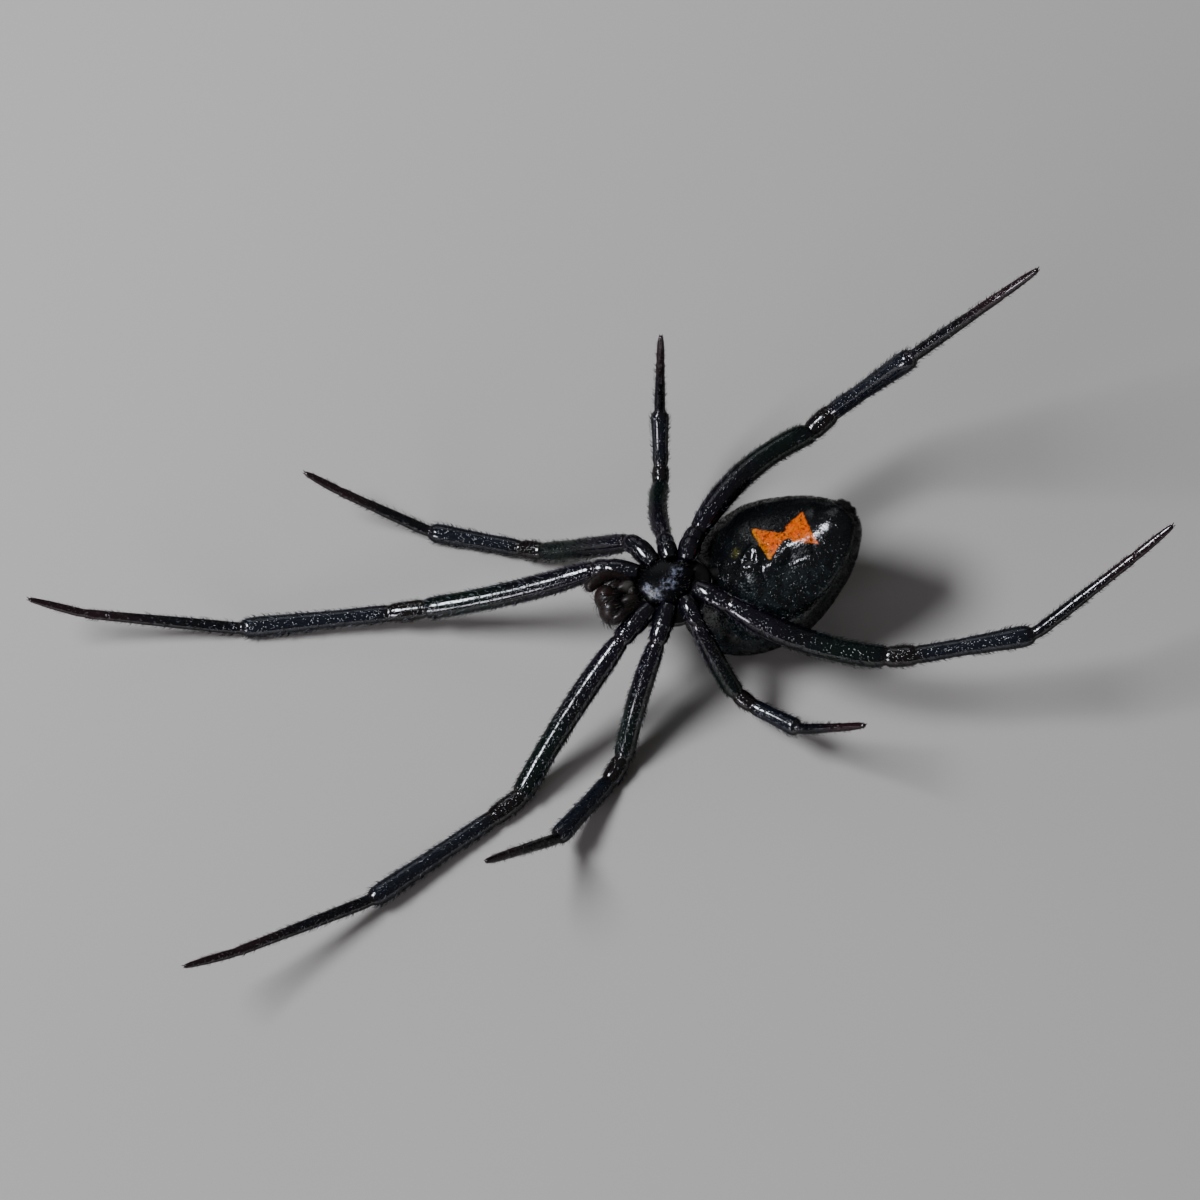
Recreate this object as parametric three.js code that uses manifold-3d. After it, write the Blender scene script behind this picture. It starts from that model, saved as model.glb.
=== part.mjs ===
// A female black widow spider at life size, lying on its back with its belly up and its legs reaching out and up.
// Units are millimetres. +X runs from the head to the tail, +Y is the spider's left and +Z is up. The origin is the
// middle of the small flat on the back of the abdomen that the spider rests on.
// The body is measured in its own frame: back is the distance towards the tail, left is towards the spider's left and
// up is towards its belly, all from the middle of the sternum, the shield between the legs.

import * as THREE from "three";
import { mergeVertices } from "three/addons/utils/BufferGeometryUtils.js";
import Module from "manifold-3d";

const wasm = await Module();
wasm.setup();

// Driving dimensions of the pose
const sternumPlace = new THREE.Vector3(-2.8, -0.3, 4.97);
const bodyPitch = 9.7;
const jointGap = 0.15;
const fineGap = 0.07;
const headGap = 0.1;

// Each leg pair: where its coxa starts, the lengths of its segments and their radii
const legPairs = {
  1: {
    root: { back: -0.9, left: 0.8, up: -0.35 },
    coxa: 1.22, trochanter: 0.57, femur: 7.3, patella: 1.46, tibia: 5.97, metatarsus: 6.28, tarsus: 2.35,
    thick: { coxa: 0.45, femur: 0.47, patella: 0.4, tibia: 0.34, tibiaEnd: 0.42, metatarsus: 0.25, tarsus: 0.18 },
  },
  2: {
    root: { back: -0.2, left: 0.95, up: -0.4 },
    coxa: 1.09, trochanter: 0.52, femur: 4.97, patella: 1.09, tibia: 3.79, metatarsus: 4.03, tarsus: 1.7,
    thick: { coxa: 0.43, femur: 0.42, patella: 0.38, tibia: 0.34, tibiaEnd: 0.4, metatarsus: 0.23, tarsus: 0.18 },
  },
  3: {
    root: { back: 0.45, left: 0.9, up: -0.4 },
    coxa: 0.76, trochanter: 0.4, femur: 3.54, patella: 0.81, tibia: 2.23, metatarsus: 2.46, tarsus: 1.31,
    thick: { coxa: 0.4, femur: 0.38, patella: 0.34, tibia: 0.31, tibiaEnd: 0.37, metatarsus: 0.22, tarsus: 0.17 },
  },
  4: {
    root: { back: 1.0, left: 0.6, up: -0.4 },
    coxa: 0.97, trochanter: 0.53, femur: 6.5, patella: 1.2, tibia: 4.65, metatarsus: 5.01, tarsus: 2.0,
    thick: { coxa: 0.45, femur: 0.5, patella: 0.43, tibia: 0.34, tibiaEnd: 0.44, metatarsus: 0.26, tarsus: 0.19 },
  },
};

// Each leg's pose in degrees. Headings are measured from the head towards the leg's own side and rises from the
// floor. Lean turns the plane in which the leg bends, and knee to toe are the bends at the joints in that plane.
// Bow and sway are how far the middle of the femur lies off its straight line, towards the back and outwards.
const legPoses = {
  left_1: { coxaHeading: 28.3, coxaRise: -4.9, heading: 16.8, rise: -23.9, lean: 8.4, bow: 0.15, sway: 0.08,
    knee: 9.4, shin: 8.5, turn: 5.5, ankle: 18.5, toe: 14.3 },
  right_1: { coxaHeading: 28.9, coxaRise: -9.1, heading: 34.2, rise: -30.1, lean: -26.5, bow: 0, sway: 0.2,
    knee: 28.9, shin: 6.6, turn: -2.1, ankle: 15.8, toe: 6.4 },
  left_2: { coxaHeading: 69.1, coxaRise: -3, heading: 41.8, rise: -43, lean: -1.3, bow: 0.05, sway: 0.03,
    knee: 19.9, shin: 20.9, turn: 10.1, ankle: 29, toe: 6.5 },
  right_2: { coxaHeading: 54.3, coxaRise: -13.6, heading: 50.2, rise: -45.5, lean: -14.9, bow: 0, sway: 0.1,
    knee: 35.8, shin: 26.2, turn: -2, ankle: 29.9, toe: 0 },
  left_3: { coxaHeading: 94, coxaRise: -5.1, heading: 105.5, rise: -24.2, lean: 4.3, bow: 0.05, sway: 0.17,
    knee: 36.7, shin: 31, turn: 3.6, ankle: 26, toe: 0.9 },
  right_3: { coxaHeading: 96.8, coxaRise: -4.8, heading: 115.3, rise: -49.8, lean: 19.5, bow: 0.05, sway: 0.05,
    knee: 38.6, shin: 22.9, turn: 5.4, ankle: 32.8, toe: 1.5 },
  left_4: { coxaHeading: 120.3, coxaRise: -5.6, heading: 151.6, rise: -1.8, lean: 18.9, bow: 0, sway: 0.5,
    knee: 27.9, shin: 31.8, turn: -7.8, ankle: 0, toe: -1.7 },
  right_4: { coxaHeading: 127.7, coxaRise: 1.7, heading: 145.8, rise: -8.6, lean: 37.2, bow: 0.3, sway: 0.3,
    knee: 25.2, shin: 3.8, turn: -5, ankle: 29.4, toe: 1.5 },
};

// The abdomen is an egg whose long axis is tilted, so that its front hump lies over the carapace. Its belly is
// flattened by a share between the middle and the tail.
const abdomen = {
  back: 4.0, up: -2.4, halfLength: 4.2, halfWidth: 2.9, belly: 2.16, hump: 2.5,
  tilt: 28.6, yaw: -3.7, narrowing: 0.09, tailPower: 1.5, flat: 0.15,
};

// How far the jaws stand off the middle line, towards the spider's right
const jawShift = -0.2;

// Half widths and depths of the prosoma at a few stations from the head to the pedicel
const prosoma = {
  front: -2.3, rear: 1.75, rim: -0.95, belly: 0.48,
  stations: [
    { back: -2.3, halfWidth: 0.82, depth: 0.75 },
    { back: -1.7, halfWidth: 0.98, depth: 0.98 },
    { back: -0.9, halfWidth: 1.42, depth: 1.05 },
    { back: 0.1, halfWidth: 1.72, depth: 0.98 },
    { back: 1.0, halfWidth: 1.45, depth: 0.8 },
    { back: 1.75, halfWidth: 0.75, depth: 0.55 },
  ],
};

const colours = {
  blackShell: { color: 0x0b0b0e, roughness: 0.25, metalness: 0.0 },
  brownShell: { color: 0x1d100c, roughness: 0.3, metalness: 0.0 },
  paleJoint: { color: 0x2a1a12, roughness: 0.4, metalness: 0.0 },
  eyeGloss: { color: 0x050507, roughness: 0.05, metalness: 0.0 },
};

// Frame of the body
const degrees = THREE.MathUtils.degToRad;
const towardsTail = new THREE.Vector3(Math.cos(degrees(bodyPitch)), 0, Math.sin(degrees(bodyPitch)));
const towardsLeft = new THREE.Vector3(0, 1, 0);
const towardsBelly = new THREE.Vector3(-Math.sin(degrees(bodyPitch)), 0, Math.cos(degrees(bodyPitch)));

function bodyPoint(back, left, up) {
  return sternumPlace.clone()
    .addScaledVector(towardsTail, back)
    .addScaledVector(towardsLeft, left)
    .addScaledVector(towardsBelly, up);
}

// Helpers that shape and join closed meshes
function closed(geometry) {
  const bare = geometry.clone();
  for (const name of Object.keys(bare.attributes)) {
    if (name !== "position") bare.deleteAttribute(name);
  }
  return mergeVertices(bare, 1e-5);
}

function mould(geometry, place) {
  const shape = closed(geometry);
  const position = shape.attributes.position;
  const vertex = new THREE.Vector3();
  for (let i = 0; i < position.count; i++) {
    vertex.fromBufferAttribute(position, i);
    const moved = place(vertex);
    position.setXYZ(i, moved.x, moved.y, moved.z);
  }
  return shape;
}

function solid(geometry) {
  const shape = closed(geometry);
  const vertProperties = new Float32Array(shape.attributes.position.array);
  const triVerts = new Uint32Array(shape.index.array);
  const made = new wasm.Manifold(new wasm.Mesh({ numProp: 3, vertProperties, triVerts }));
  if (made.volume() > 0) return made;
  const flipped = triVerts.slice();
  for (let i = 0; i < flipped.length; i += 3) [flipped[i + 1], flipped[i + 2]] = [flipped[i + 2], flipped[i + 1]];
  return new wasm.Manifold(new wasm.Mesh({ numProp: 3, vertProperties, triVerts: flipped }));
}

function largest(body) {
  const pieces = body.decompose();
  pieces.sort((a, b) => b.volume() - a.volume());
  return pieces[0];
}

const aboveFloor = solid(new THREE.BoxGeometry(80, 80, 40).translate(0, 0, 20));

function part(name, body, look) {
  const mesh = largest(body.intersect(aboveFloor)).getMesh();
  const geometry = new THREE.BufferGeometry();
  geometry.setAttribute("position", new THREE.BufferAttribute(new Float32Array(mesh.vertProperties), 3));
  geometry.setIndex(new THREE.BufferAttribute(new Uint32Array(mesh.triVerts), 1));
  geometry.computeVertexNormals();
  const piece = new THREE.Mesh(geometry, new THREE.MeshStandardMaterial(look));
  piece.name = name;
  return piece;
}

// A smooth step between the values of a list of stations
function between(stations, back, key) {
  const last = stations.length - 1;
  const clamped = THREE.MathUtils.clamp(back, stations[0].back, stations[last].back);
  const i = Math.max(1, stations.findIndex((station) => station.back >= clamped));
  const [a, b] = [stations[i - 1], stations[i]];
  const share = (clamped - a.back) / (b.back - a.back);
  return THREE.MathUtils.lerp(a[key], b[key], share);
}

// Prosoma: rounded sections from the head to the pedicel, domed below as the carapace and flatter towards the belly
function prosomaShape(grow) {
  const middle = (prosoma.front + prosoma.rear) / 2;
  const halfLength = (prosoma.rear - prosoma.front) / 2 + grow;
  const ball = new THREE.SphereGeometry(1, 32, 18).rotateZ(-Math.PI / 2);
  return solid(mould(ball, (v) => {
    const round = Math.hypot(v.y, v.z) || 1;
    const fill = Math.cbrt(1 - Math.abs(v.x) ** 3);
    const back = middle + halfLength * v.x;
    const width = (between(prosoma.stations, back, "halfWidth") + grow) * fill;
    const dome = v.z > 0 ? prosoma.belly + grow : between(prosoma.stations, back, "depth") + grow;
    return bodyPoint(back, (width * v.y) / round, prosoma.rim + (dome * fill * v.z) / round);
  }));
}

// How far forward the head reaches at a place on its face, found in short steps back from its front
function headFront(left, up) {
  const middle = (prosoma.front + prosoma.rear) / 2;
  let back = prosoma.front;
  while (back < middle) {
    const fill = Math.cbrt(1 - ((middle - back) / (middle - prosoma.front)) ** 3);
    const width = between(prosoma.stations, back, "halfWidth") * fill;
    const depth = between(prosoma.stations, back, "depth") * fill;
    if (Math.hypot(left / width, (up - prosoma.rim) / depth) < 1) break;
    back += 0.01;
  }
  return back;
}

function abdomenPoint(along, side, up) {
  const [tilt, yaw] = [degrees(abdomen.tilt), degrees(abdomen.yaw)];
  const tilted = along * Math.cos(tilt) - up * Math.sin(tilt);
  const raised = along * Math.sin(tilt) + up * Math.cos(tilt);
  const back = tilted * Math.cos(yaw) - side * Math.sin(yaw);
  const left = tilted * Math.sin(yaw) + side * Math.cos(yaw);
  return bodyPoint(abdomen.back + back, left, abdomen.up + raised);
}

function abdomenShape(grow) {
  const ball = new THREE.SphereGeometry(1, 40, 24).rotateZ(-Math.PI / 2);
  return solid(mould(ball, (v) => {
    const round = Math.hypot(v.y, v.z) || 1;
    const fill = Math.sqrt(1 - Math.min(1, Math.abs(v.x)) ** (v.x > 0 ? abdomen.tailPower : 2));
    const girth = (fill * (1 - abdomen.narrowing * v.x)) / round;
    const flattened = Math.sin(Math.PI * THREE.MathUtils.clamp(v.x / 0.95, 0, 1)) ** 1.2;
    const height = (v.z > 0 ? abdomen.belly * (1 - abdomen.flat * flattened) : abdomen.hump) + grow;
    const length = (abdomen.halfLength + grow) * v.x;
    return abdomenPoint(length, (abdomen.halfWidth + grow) * girth * v.y, height * girth * v.z);
  }));
}

// A straight turned limb, carried from the Y axis on to a path. Stations are distances along the path with a radius.
function limb(path, stations, sides) {
  const profile = [new THREE.Vector2(0, stations[0][0])];
  for (const [distance, radius] of stations) profile.push(new THREE.Vector2(radius, distance));
  profile.push(new THREE.Vector2(0, stations[stations.length - 1][0]));
  return solid(mould(new THREE.LatheGeometry(profile, sides), (v) => {
    const { point, side, up } = path(v.y);
    return point.addScaledVector(side, v.x).addScaledVector(up, v.z);
  }));
}

// The path of a chain of straight lengths whose corners are rounded over a short reach on both sides. At a distance d
// past a corner the point is the corner minus the old direction times (reach - d)^2 / 4 reach, plus the new
// direction times (reach + d)^2 / 4 reach.
function chainPath(start, links, hinge) {
  const corners = [start.clone()];
  const distances = [0];
  for (const link of links) {
    corners.push(corners[corners.length - 1].clone().addScaledVector(link.direction, link.length));
    distances.push(distances[distances.length - 1] + link.length);
  }
  const last = links.length - 1;
  function at(distance) {
    let i = distances.findIndex((d) => d > distance) - 1;
    if (i < 0) i = distance <= 0 ? 0 : last;
    const link = links[i];
    const fromStart = distance - distances[i];
    const toEnd = distances[i + 1] - distance;
    const corner = fromStart < toEnd ? i : i + 1;
    const reach = Math.min(0.45, link.length / 2, corner > 0 ? links[corner - 1].length / 2 : Infinity,
      corner <= last ? links[corner].length / 2 : Infinity);
    const past = fromStart < toEnd ? fromStart : -toEnd;
    const point = corners[corner].clone();
    const tangent = new THREE.Vector3();
    if (corner > 0 && corner <= last && Math.abs(past) < reach) {
      point.addScaledVector(links[corner - 1].direction, -((reach - past) ** 2) / (4 * reach));
      point.addScaledVector(links[corner].direction, (reach + past) ** 2 / (4 * reach));
      tangent.addScaledVector(links[corner - 1].direction, reach - past);
      tangent.addScaledVector(links[corner].direction, reach + past).normalize();
    } else {
      point.addScaledVector(link.direction, past);
      tangent.copy(link.direction);
    }
    const share = fromStart / link.length;
    const side = hinge.clone().addScaledVector(tangent, -hinge.dot(tangent)).normalize();
    const up = new THREE.Vector3().crossVectors(side, tangent);
    if (link.bow) point.addScaledVector(link.bow, 4 * share * (1 - share));
    return { point, side, up };
  }
  return { at, distances };
}

// The directions of a leg's segments, each turned from the last by the bend at its joint
function legPath(name, side) {
  const pair = legPairs[name.slice(-1)];
  const pose = legPoses[name];
  const heading = (turn, rise) => new THREE.Vector3(
    -Math.cos(degrees(turn)) * Math.cos(degrees(rise)),
    side * Math.sin(degrees(turn)) * Math.cos(degrees(rise)),
    Math.sin(degrees(rise)));
  const coxaWay = heading(pose.coxaHeading, pose.coxaRise);
  const way = heading(pose.heading, pose.rise);
  const hinge = new THREE.Vector3().crossVectors(way, new THREE.Vector3(0, 0, 1)).normalize();
  hinge.applyAxisAngle(way, side * degrees(pose.lean));
  const bow = new THREE.Vector3().crossVectors(way, hinge).multiplyScalar(pose.bow)
    .addScaledVector(hinge, -side * pose.sway);
  const links = [
    { length: pair.coxa, direction: coxaWay },
    { length: pair.trochanter, direction: coxaWay.clone().add(way).normalize() },
    { length: pair.femur, direction: way.clone(), bow },
  ];
  const bend = (angle) => way.applyAxisAngle(hinge, degrees(angle)).clone();
  links.push({ length: pair.patella, direction: bend(pose.knee) });
  bend(pose.shin);
  const sideways = new THREE.Vector3().crossVectors(hinge, way);
  hinge.applyAxisAngle(sideways, side * degrees(pose.turn));
  way.applyAxisAngle(sideways, side * degrees(pose.turn));
  links.push({ length: pair.tibia, direction: way.clone() });
  links.push({ length: pair.metatarsus, direction: bend(pose.ankle) });
  links.push({ length: pair.tarsus, direction: bend(pose.toe) });
  return chainPath(bodyPoint(pair.root.back, side * pair.root.left, pair.root.up), links, hinge);
}

const upTo = (from, to, share) => from + (to - from) * share;

function hipShape(name, side, grow) {
  const { coxa, femur } = legPairs[name.slice(-1)].thick;
  const path = legPath(name, side);
  const [, coxaEnd, hipEnd] = path.distances;
  const stations = [
    [0, coxa * 0.66], [coxaEnd * 0.3, coxa * 0.86], [coxaEnd * 0.6, coxa], [coxaEnd * 0.88, coxa * 0.97],
    [coxaEnd, coxa * 0.84], [upTo(coxaEnd, hipEnd, 0.3), coxa * 0.92],
    [upTo(coxaEnd, hipEnd, 0.7), coxa * 0.9], [hipEnd - jointGap / 2, femur * 0.74],
  ];
  const last = stations.length - 1;
  const ends = (i) => (i === 0 ? -grow : i === last ? grow : 0);
  return limb(path.at, stations.map(([distance, radius], i) => [distance + ends(i), radius + grow]), 12);
}

function leg(name, side, neighbours) {
  const pair = legPairs[name.slice(-1)];
  const r = pair.thick;
  const path = legPath(name, side);
  const [, , hipEnd, knee, patellaEnd, tibiaEnd, ankle, tip] = path.distances;
  const half = jointGap / 2;
  const pieces = {
    femur: [
      [hipEnd + half, r.femur * 0.74], [hipEnd + 0.35, r.femur * 0.86], [upTo(hipEnd, knee, 0.15), r.femur * 0.95],
      [upTo(hipEnd, knee, 0.3), r.femur], [upTo(hipEnd, knee, 0.5), r.femur], [upTo(hipEnd, knee, 0.7), r.femur * 0.96],
      [upTo(hipEnd, knee, 0.87), r.femur * 0.97], [knee - 0.3, r.femur * 0.93], [knee - half, r.patella * 0.88],
    ],
    shin: [
      [knee + half, r.patella * 0.88], [upTo(knee, patellaEnd, 0.35), r.patella],
      [upTo(knee, patellaEnd, 0.75), r.patella], [patellaEnd, r.patella * 0.84],
      [upTo(patellaEnd, tibiaEnd, 0.1), r.tibia * 1.05], [upTo(patellaEnd, tibiaEnd, 0.35), r.tibia],
      [upTo(patellaEnd, tibiaEnd, 0.65), (r.tibia + r.tibiaEnd) / 2], [upTo(patellaEnd, tibiaEnd, 0.88), r.tibiaEnd],
      [tibiaEnd - 0.2, r.tibiaEnd * 0.92], [tibiaEnd - half, r.metatarsus],
    ],
    foot: [
      [tibiaEnd + half, r.metatarsus * 0.9], [upTo(tibiaEnd, ankle, 0.12), r.metatarsus],
      [upTo(tibiaEnd, ankle, 0.4), r.metatarsus * 0.95], [upTo(tibiaEnd, ankle, 0.75), r.metatarsus * 0.8],
      [upTo(tibiaEnd, ankle, 0.96), r.tarsus * 1.08], [ankle, r.tarsus * 0.94],
      [upTo(ankle, tip, 0.15), r.tarsus], [upTo(ankle, tip, 0.6), r.tarsus * 0.86],
      [upTo(ankle, tip, 0.9), r.tarsus * 0.6], [tip, r.tarsus * 0.25],
    ],
  };
  const group = new THREE.Group();
  group.name = `leg_${name}`;
  let hip = hipShape(name, side, 0);
  for (const neighbour of neighbours) hip = hip.subtract(neighbour);
  group.add(part(`leg_${name}_hip`, hip, colours.blackShell));
  for (const [kind, stations] of Object.entries(pieces)) {
    const body = limb(path.at, stations, kind === "foot" ? 10 : 12);
    group.add(part(`leg_${name}_${kind}`, body, colours.blackShell));
  }
  return group;
}

// Small parts of the head and the tail: eggs and tapered limbs placed in the frame of the body
function egg(back, left, up, halfBack, halfLeft, halfUp, sides = 16, rings = 10) {
  const ball = new THREE.SphereGeometry(1, sides, rings);
  return solid(mould(ball, (v) => bodyPoint(back + halfBack * v.x, left + halfLeft * v.y, up + halfUp * v.z)));
}

function taper(points, radii, sides = 10) {
  const links = [];
  for (let i = 1; i < points.length; i++) {
    const step = points[i].clone().sub(points[i - 1]);
    links.push({ length: step.length(), direction: step.clone().normalize() });
  }
  const path = chainPath(points[0], links, new THREE.Vector3(0.31, 0.87, 0.38).normalize());
  const total = path.distances[path.distances.length - 1];
  const stations = radii.map((radius, i) => [(total * i) / (radii.length - 1), radius]);
  return limb(path.at, stations, sides);
}

const prosomaBody = prosomaShape(0);
const prosomaKeepOut = prosomaShape(headGap);
const abdomenBody = abdomenShape(0);
const abdomenKeepOut = abdomenShape(0.2);

const spider = new THREE.Group();
spider.name = "black_widow";

// Sternum: a heart-shaped shield, broad in front and pointed between the hind legs
function sternumShape(grow) {
  const ball = new THREE.SphereGeometry(1, 24, 12).rotateX(Math.PI / 2);
  return solid(mould(ball, (v) => {
    const point = Math.max(0, v.x);
    const width = (0.98 + grow) * (1 - 0.42 * point ** 1.5);
    return bodyPoint((1.16 + grow) * v.x, width * v.y, -0.3 + (0.3 + grow) * v.z);
  }));
}
const sternumBody = sternumShape(0).subtract(prosomaKeepOut);

// Mouth: two blunt plates that meet over a small lip in front of the sternum
const mouthBody = egg(-1.62, 0.3, -0.2, 0.42, 0.27, 0.32, 12, 8)
  .add(egg(-1.62, -0.3, -0.2, 0.42, 0.27, 0.32, 12, 8))
  .add(egg(-1.36, 0, -0.25, 0.2, 0.24, 0.3, 10, 6))
  .subtract(prosomaKeepOut)
  .subtract(sternumShape(fineGap));

spider.add(part("prosoma", prosomaBody, colours.blackShell));
spider.add(part("sternum", sternumBody, colours.blackShell));
spider.add(part("mouth_plates", mouthBody, colours.brownShell));
spider.add(part("abdomen", abdomenBody.subtract(prosomaKeepOut), colours.blackShell));

const pedicelBody = taper([bodyPoint(1.2, 0, -1.05), bodyPoint(2.5, 0.06, -1.4)], [0.3, 0.3])
  .subtract(prosomaKeepOut).subtract(abdomenShape(headGap));
spider.add(part("pedicel", pedicelBody, colours.paleJoint));

const mouthKeepOut = egg(-1.62, 0.3, -0.2, 0.48, 0.33, 0.38).add(egg(-1.62, -0.3, -0.2, 0.48, 0.33, 0.38));
const sides = { left: 1, right: -1 };
const cheliceraKeepOuts = [];
for (const [name, side] of Object.entries(sides)) {
  // Each jaw is a stout egg that ends short of the plane between the two, with a fang folded over its end
  const jaw = (grow) => egg(-2.4, jawShift + side * 0.36, -0.17, 0.5 + grow, 0.46 + grow, 0.68 + grow, 18, 12);
  const fang = taper([bodyPoint(-2.62, jawShift + side * 0.34, 0.34), bodyPoint(-2.48, jawShift + side * 0.2, 0.46),
    bodyPoint(-2.24, jawShift + side * 0.12, 0.42)], [0.08, 0.07, 0.05, 0.025], 8);
  const otherHalf = solid(mould(new THREE.BoxGeometry(4, 2, 4),
    (v) => bodyPoint(v.x - 2.4, jawShift + side * (fineGap / 2 - 1) + v.y, v.z)));
  const chelicera = jaw(0).add(fang).subtract(prosomaKeepOut).subtract(mouthKeepOut).subtract(otherHalf);
  spider.add(part(`chelicera_${name}`, chelicera, colours.brownShell));
  cheliceraKeepOuts.push(jaw(fineGap));
}

// Legs, each cut clear of the shields that it grows from
const shieldKeepOuts = [prosomaKeepOut, sternumShape(fineGap), abdomenKeepOut];
for (const [name, side] of Object.entries(sides)) {
  for (const pair of [1, 2, 3, 4]) {
    const neighbours = [...shieldKeepOuts];
    if (pair > 1) neighbours.push(hipShape(`${name}_${pair - 1}`, side, fineGap));
    spider.add(leg(`${name}_${pair}`, side, neighbours));
  }
}

// Palps: the left one reaches forward beside the head and the right one is drawn in
const palps = {
  left: { path: [[-1.3, 0.62, -0.42], [-1.79, 0.93, 0], [-2.45, 0.88, 0.15], [-3.04, 0.6, 0.2]],
    radii: [0.2, 0.22, 0.22, 0.2, 0.25, 0.26, 0.25, 0.12] },
  right: { path: [[-1.3, -0.62, -0.42], [-1.65, -0.78, 0.05], [-2.11, -0.98, 0.2], [-2.5, -1.06, 0.16]],
    radii: [0.18, 0.2, 0.2, 0.18, 0.21, 0.22, 0.2, 0.1] },
};
for (const [name, side] of Object.entries(sides)) {
  const palp = taper(palps[name].path.map((place) => bodyPoint(...place)), palps[name].radii);
  let body = palp.subtract(prosomaKeepOut).subtract(mouthKeepOut).subtract(sternumShape(fineGap))
    .subtract(hipShape(`${name}_1`, side, fineGap));
  for (const keepOut of cheliceraKeepOuts) body = body.subtract(keepOut);
  spider.add(part(`palp_${name}`, body, colours.brownShell));
}

// Spinnerets: a close bunch of short cones that stand in a low ring at the corner of the tail
const spinneretSeat = new THREE.Vector3(3.88, 0.54, 0);
const spinneretWay = new THREE.Vector3(0.9, 0.42, 0.2).normalize();
const spinneretAcross = new THREE.Vector3(0, 0, 1).cross(spinneretWay).normalize();
const spinneretUp = new THREE.Vector3().crossVectors(spinneretWay, spinneretAcross);
const spinneretPlaces = [
  { side: 0.17, up: 0.15, long: 0.4, thick: 0.25 }, { side: -0.17, up: 0.15, long: 0.4, thick: 0.25 },
  { side: 0.17, up: -0.15, long: 0.34, thick: 0.23 }, { side: -0.17, up: -0.15, long: 0.34, thick: 0.23 },
];
function spinneretPoint(out, side, up) {
  const place = spinneretSeat.clone().addScaledVector(spinneretWay, out)
    .addScaledVector(spinneretAcross, side).addScaledVector(spinneretUp, up);
  return abdomenPoint(place.x, place.y, place.z);
}
let spinneretBody = taper([spinneretPoint(-0.3, 0, 0), spinneretPoint(0.26, 0, 0)], [0.56, 0.56, 0.48], 14);
for (const { side, up, long, thick } of spinneretPlaces) {
  const cone = taper([spinneretPoint(0, side, up), spinneretPoint(long, side * 1.1, up * 1.1)],
    [thick, thick, thick * 0.8, thick * 0.35], 8);
  spinneretBody = spinneretBody.add(cone);
}
spider.add(part("spinnerets", spinneretBody.subtract(abdomenShape(fineGap)), colours.brownShell));

// Eyes: eight beads in two rows across the front of the head
const eyePlaces = {
  front_inner: { left: 0.15, up: -1.27, radius: 0.13 },
  front_outer: { left: 0.46, up: -1.22, radius: 0.11 },
  back_inner: { left: 0.16, up: -1.54, radius: 0.12 },
  back_outer: { left: 0.55, up: -1.42, radius: 0.11 },
};
for (const [row, place] of Object.entries(eyePlaces)) {
  for (const [name, side] of Object.entries(sides)) {
    const front = headFront(place.left, place.up) - 0.03;
    const bead = egg(front, side * place.left, place.up, place.radius, place.radius, place.radius, 8, 6);
    spider.add(part(`eye_${row}_${name}`, bead.subtract(prosomaShape(fineGap)), colours.eyeGloss));
  }
}

export default spider;
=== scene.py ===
# A female black widow at life size, lying on its back on a pale floor with its belly up and its legs
# spread. Shapes are worked out in millimetres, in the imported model's frame, and go into the meshes in
# metres. The body has a frame of its own: back is towards the tail, left is the spider's left and up is
# towards its belly, all measured from the middle of the sternum.

import bpy
import numpy as np
from mathutils import Matrix, Vector


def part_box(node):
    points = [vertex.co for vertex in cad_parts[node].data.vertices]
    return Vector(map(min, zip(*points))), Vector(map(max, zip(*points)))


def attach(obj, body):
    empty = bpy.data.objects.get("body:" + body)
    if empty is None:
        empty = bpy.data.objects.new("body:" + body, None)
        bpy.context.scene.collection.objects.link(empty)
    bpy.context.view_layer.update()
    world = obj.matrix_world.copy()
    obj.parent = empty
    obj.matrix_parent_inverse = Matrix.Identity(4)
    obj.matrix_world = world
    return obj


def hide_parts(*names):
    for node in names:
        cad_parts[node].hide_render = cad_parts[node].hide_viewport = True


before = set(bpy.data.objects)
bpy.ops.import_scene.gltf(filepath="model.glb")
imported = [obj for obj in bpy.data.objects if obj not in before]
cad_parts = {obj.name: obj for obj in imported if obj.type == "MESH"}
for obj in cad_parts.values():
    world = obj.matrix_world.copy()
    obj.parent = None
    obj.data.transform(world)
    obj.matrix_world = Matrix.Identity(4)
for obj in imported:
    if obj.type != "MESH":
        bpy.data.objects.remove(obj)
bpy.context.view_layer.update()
metre = 0.001  # one millimetre

# The camera looks from an azimuth and an elevation in degrees at a point that lies right of the sternum and
# raised above it, in millimetres, and sees nothing nearer than the last value.
photoView = {"azimuth": -17.58, "elevation": 60.5, "distance": 260, "angle": 10.286, "right": -2.535,
             "raised": -0.858, "nearest": 10}
bodyFrame = {"sternum": (-2.8, -0.3, 4.97), "pitch": 9.7}


def rad(degrees):
    return np.radians(degrees)


def viewAxes(azimuth, elevation):
    # right, up and towards the camera, for a camera that looks along +Y at azimuth 0
    a, e = rad(azimuth), rad(elevation)
    right = np.array([np.cos(a), np.sin(a), 0])
    towards = np.array([np.sin(a) * np.cos(e), -np.cos(a) * np.cos(e), np.sin(e)])
    return right, np.cross(towards, right), towards


def placeFacing(item, place, right, up, towards):
    # puts a camera or light at a place, with its own axes along right, up and towards
    turn = Matrix([right, up, towards]).transposed()
    item.matrix_world = Matrix.Translation(Vector(place) * metre) @ turn.to_4x4()


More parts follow.
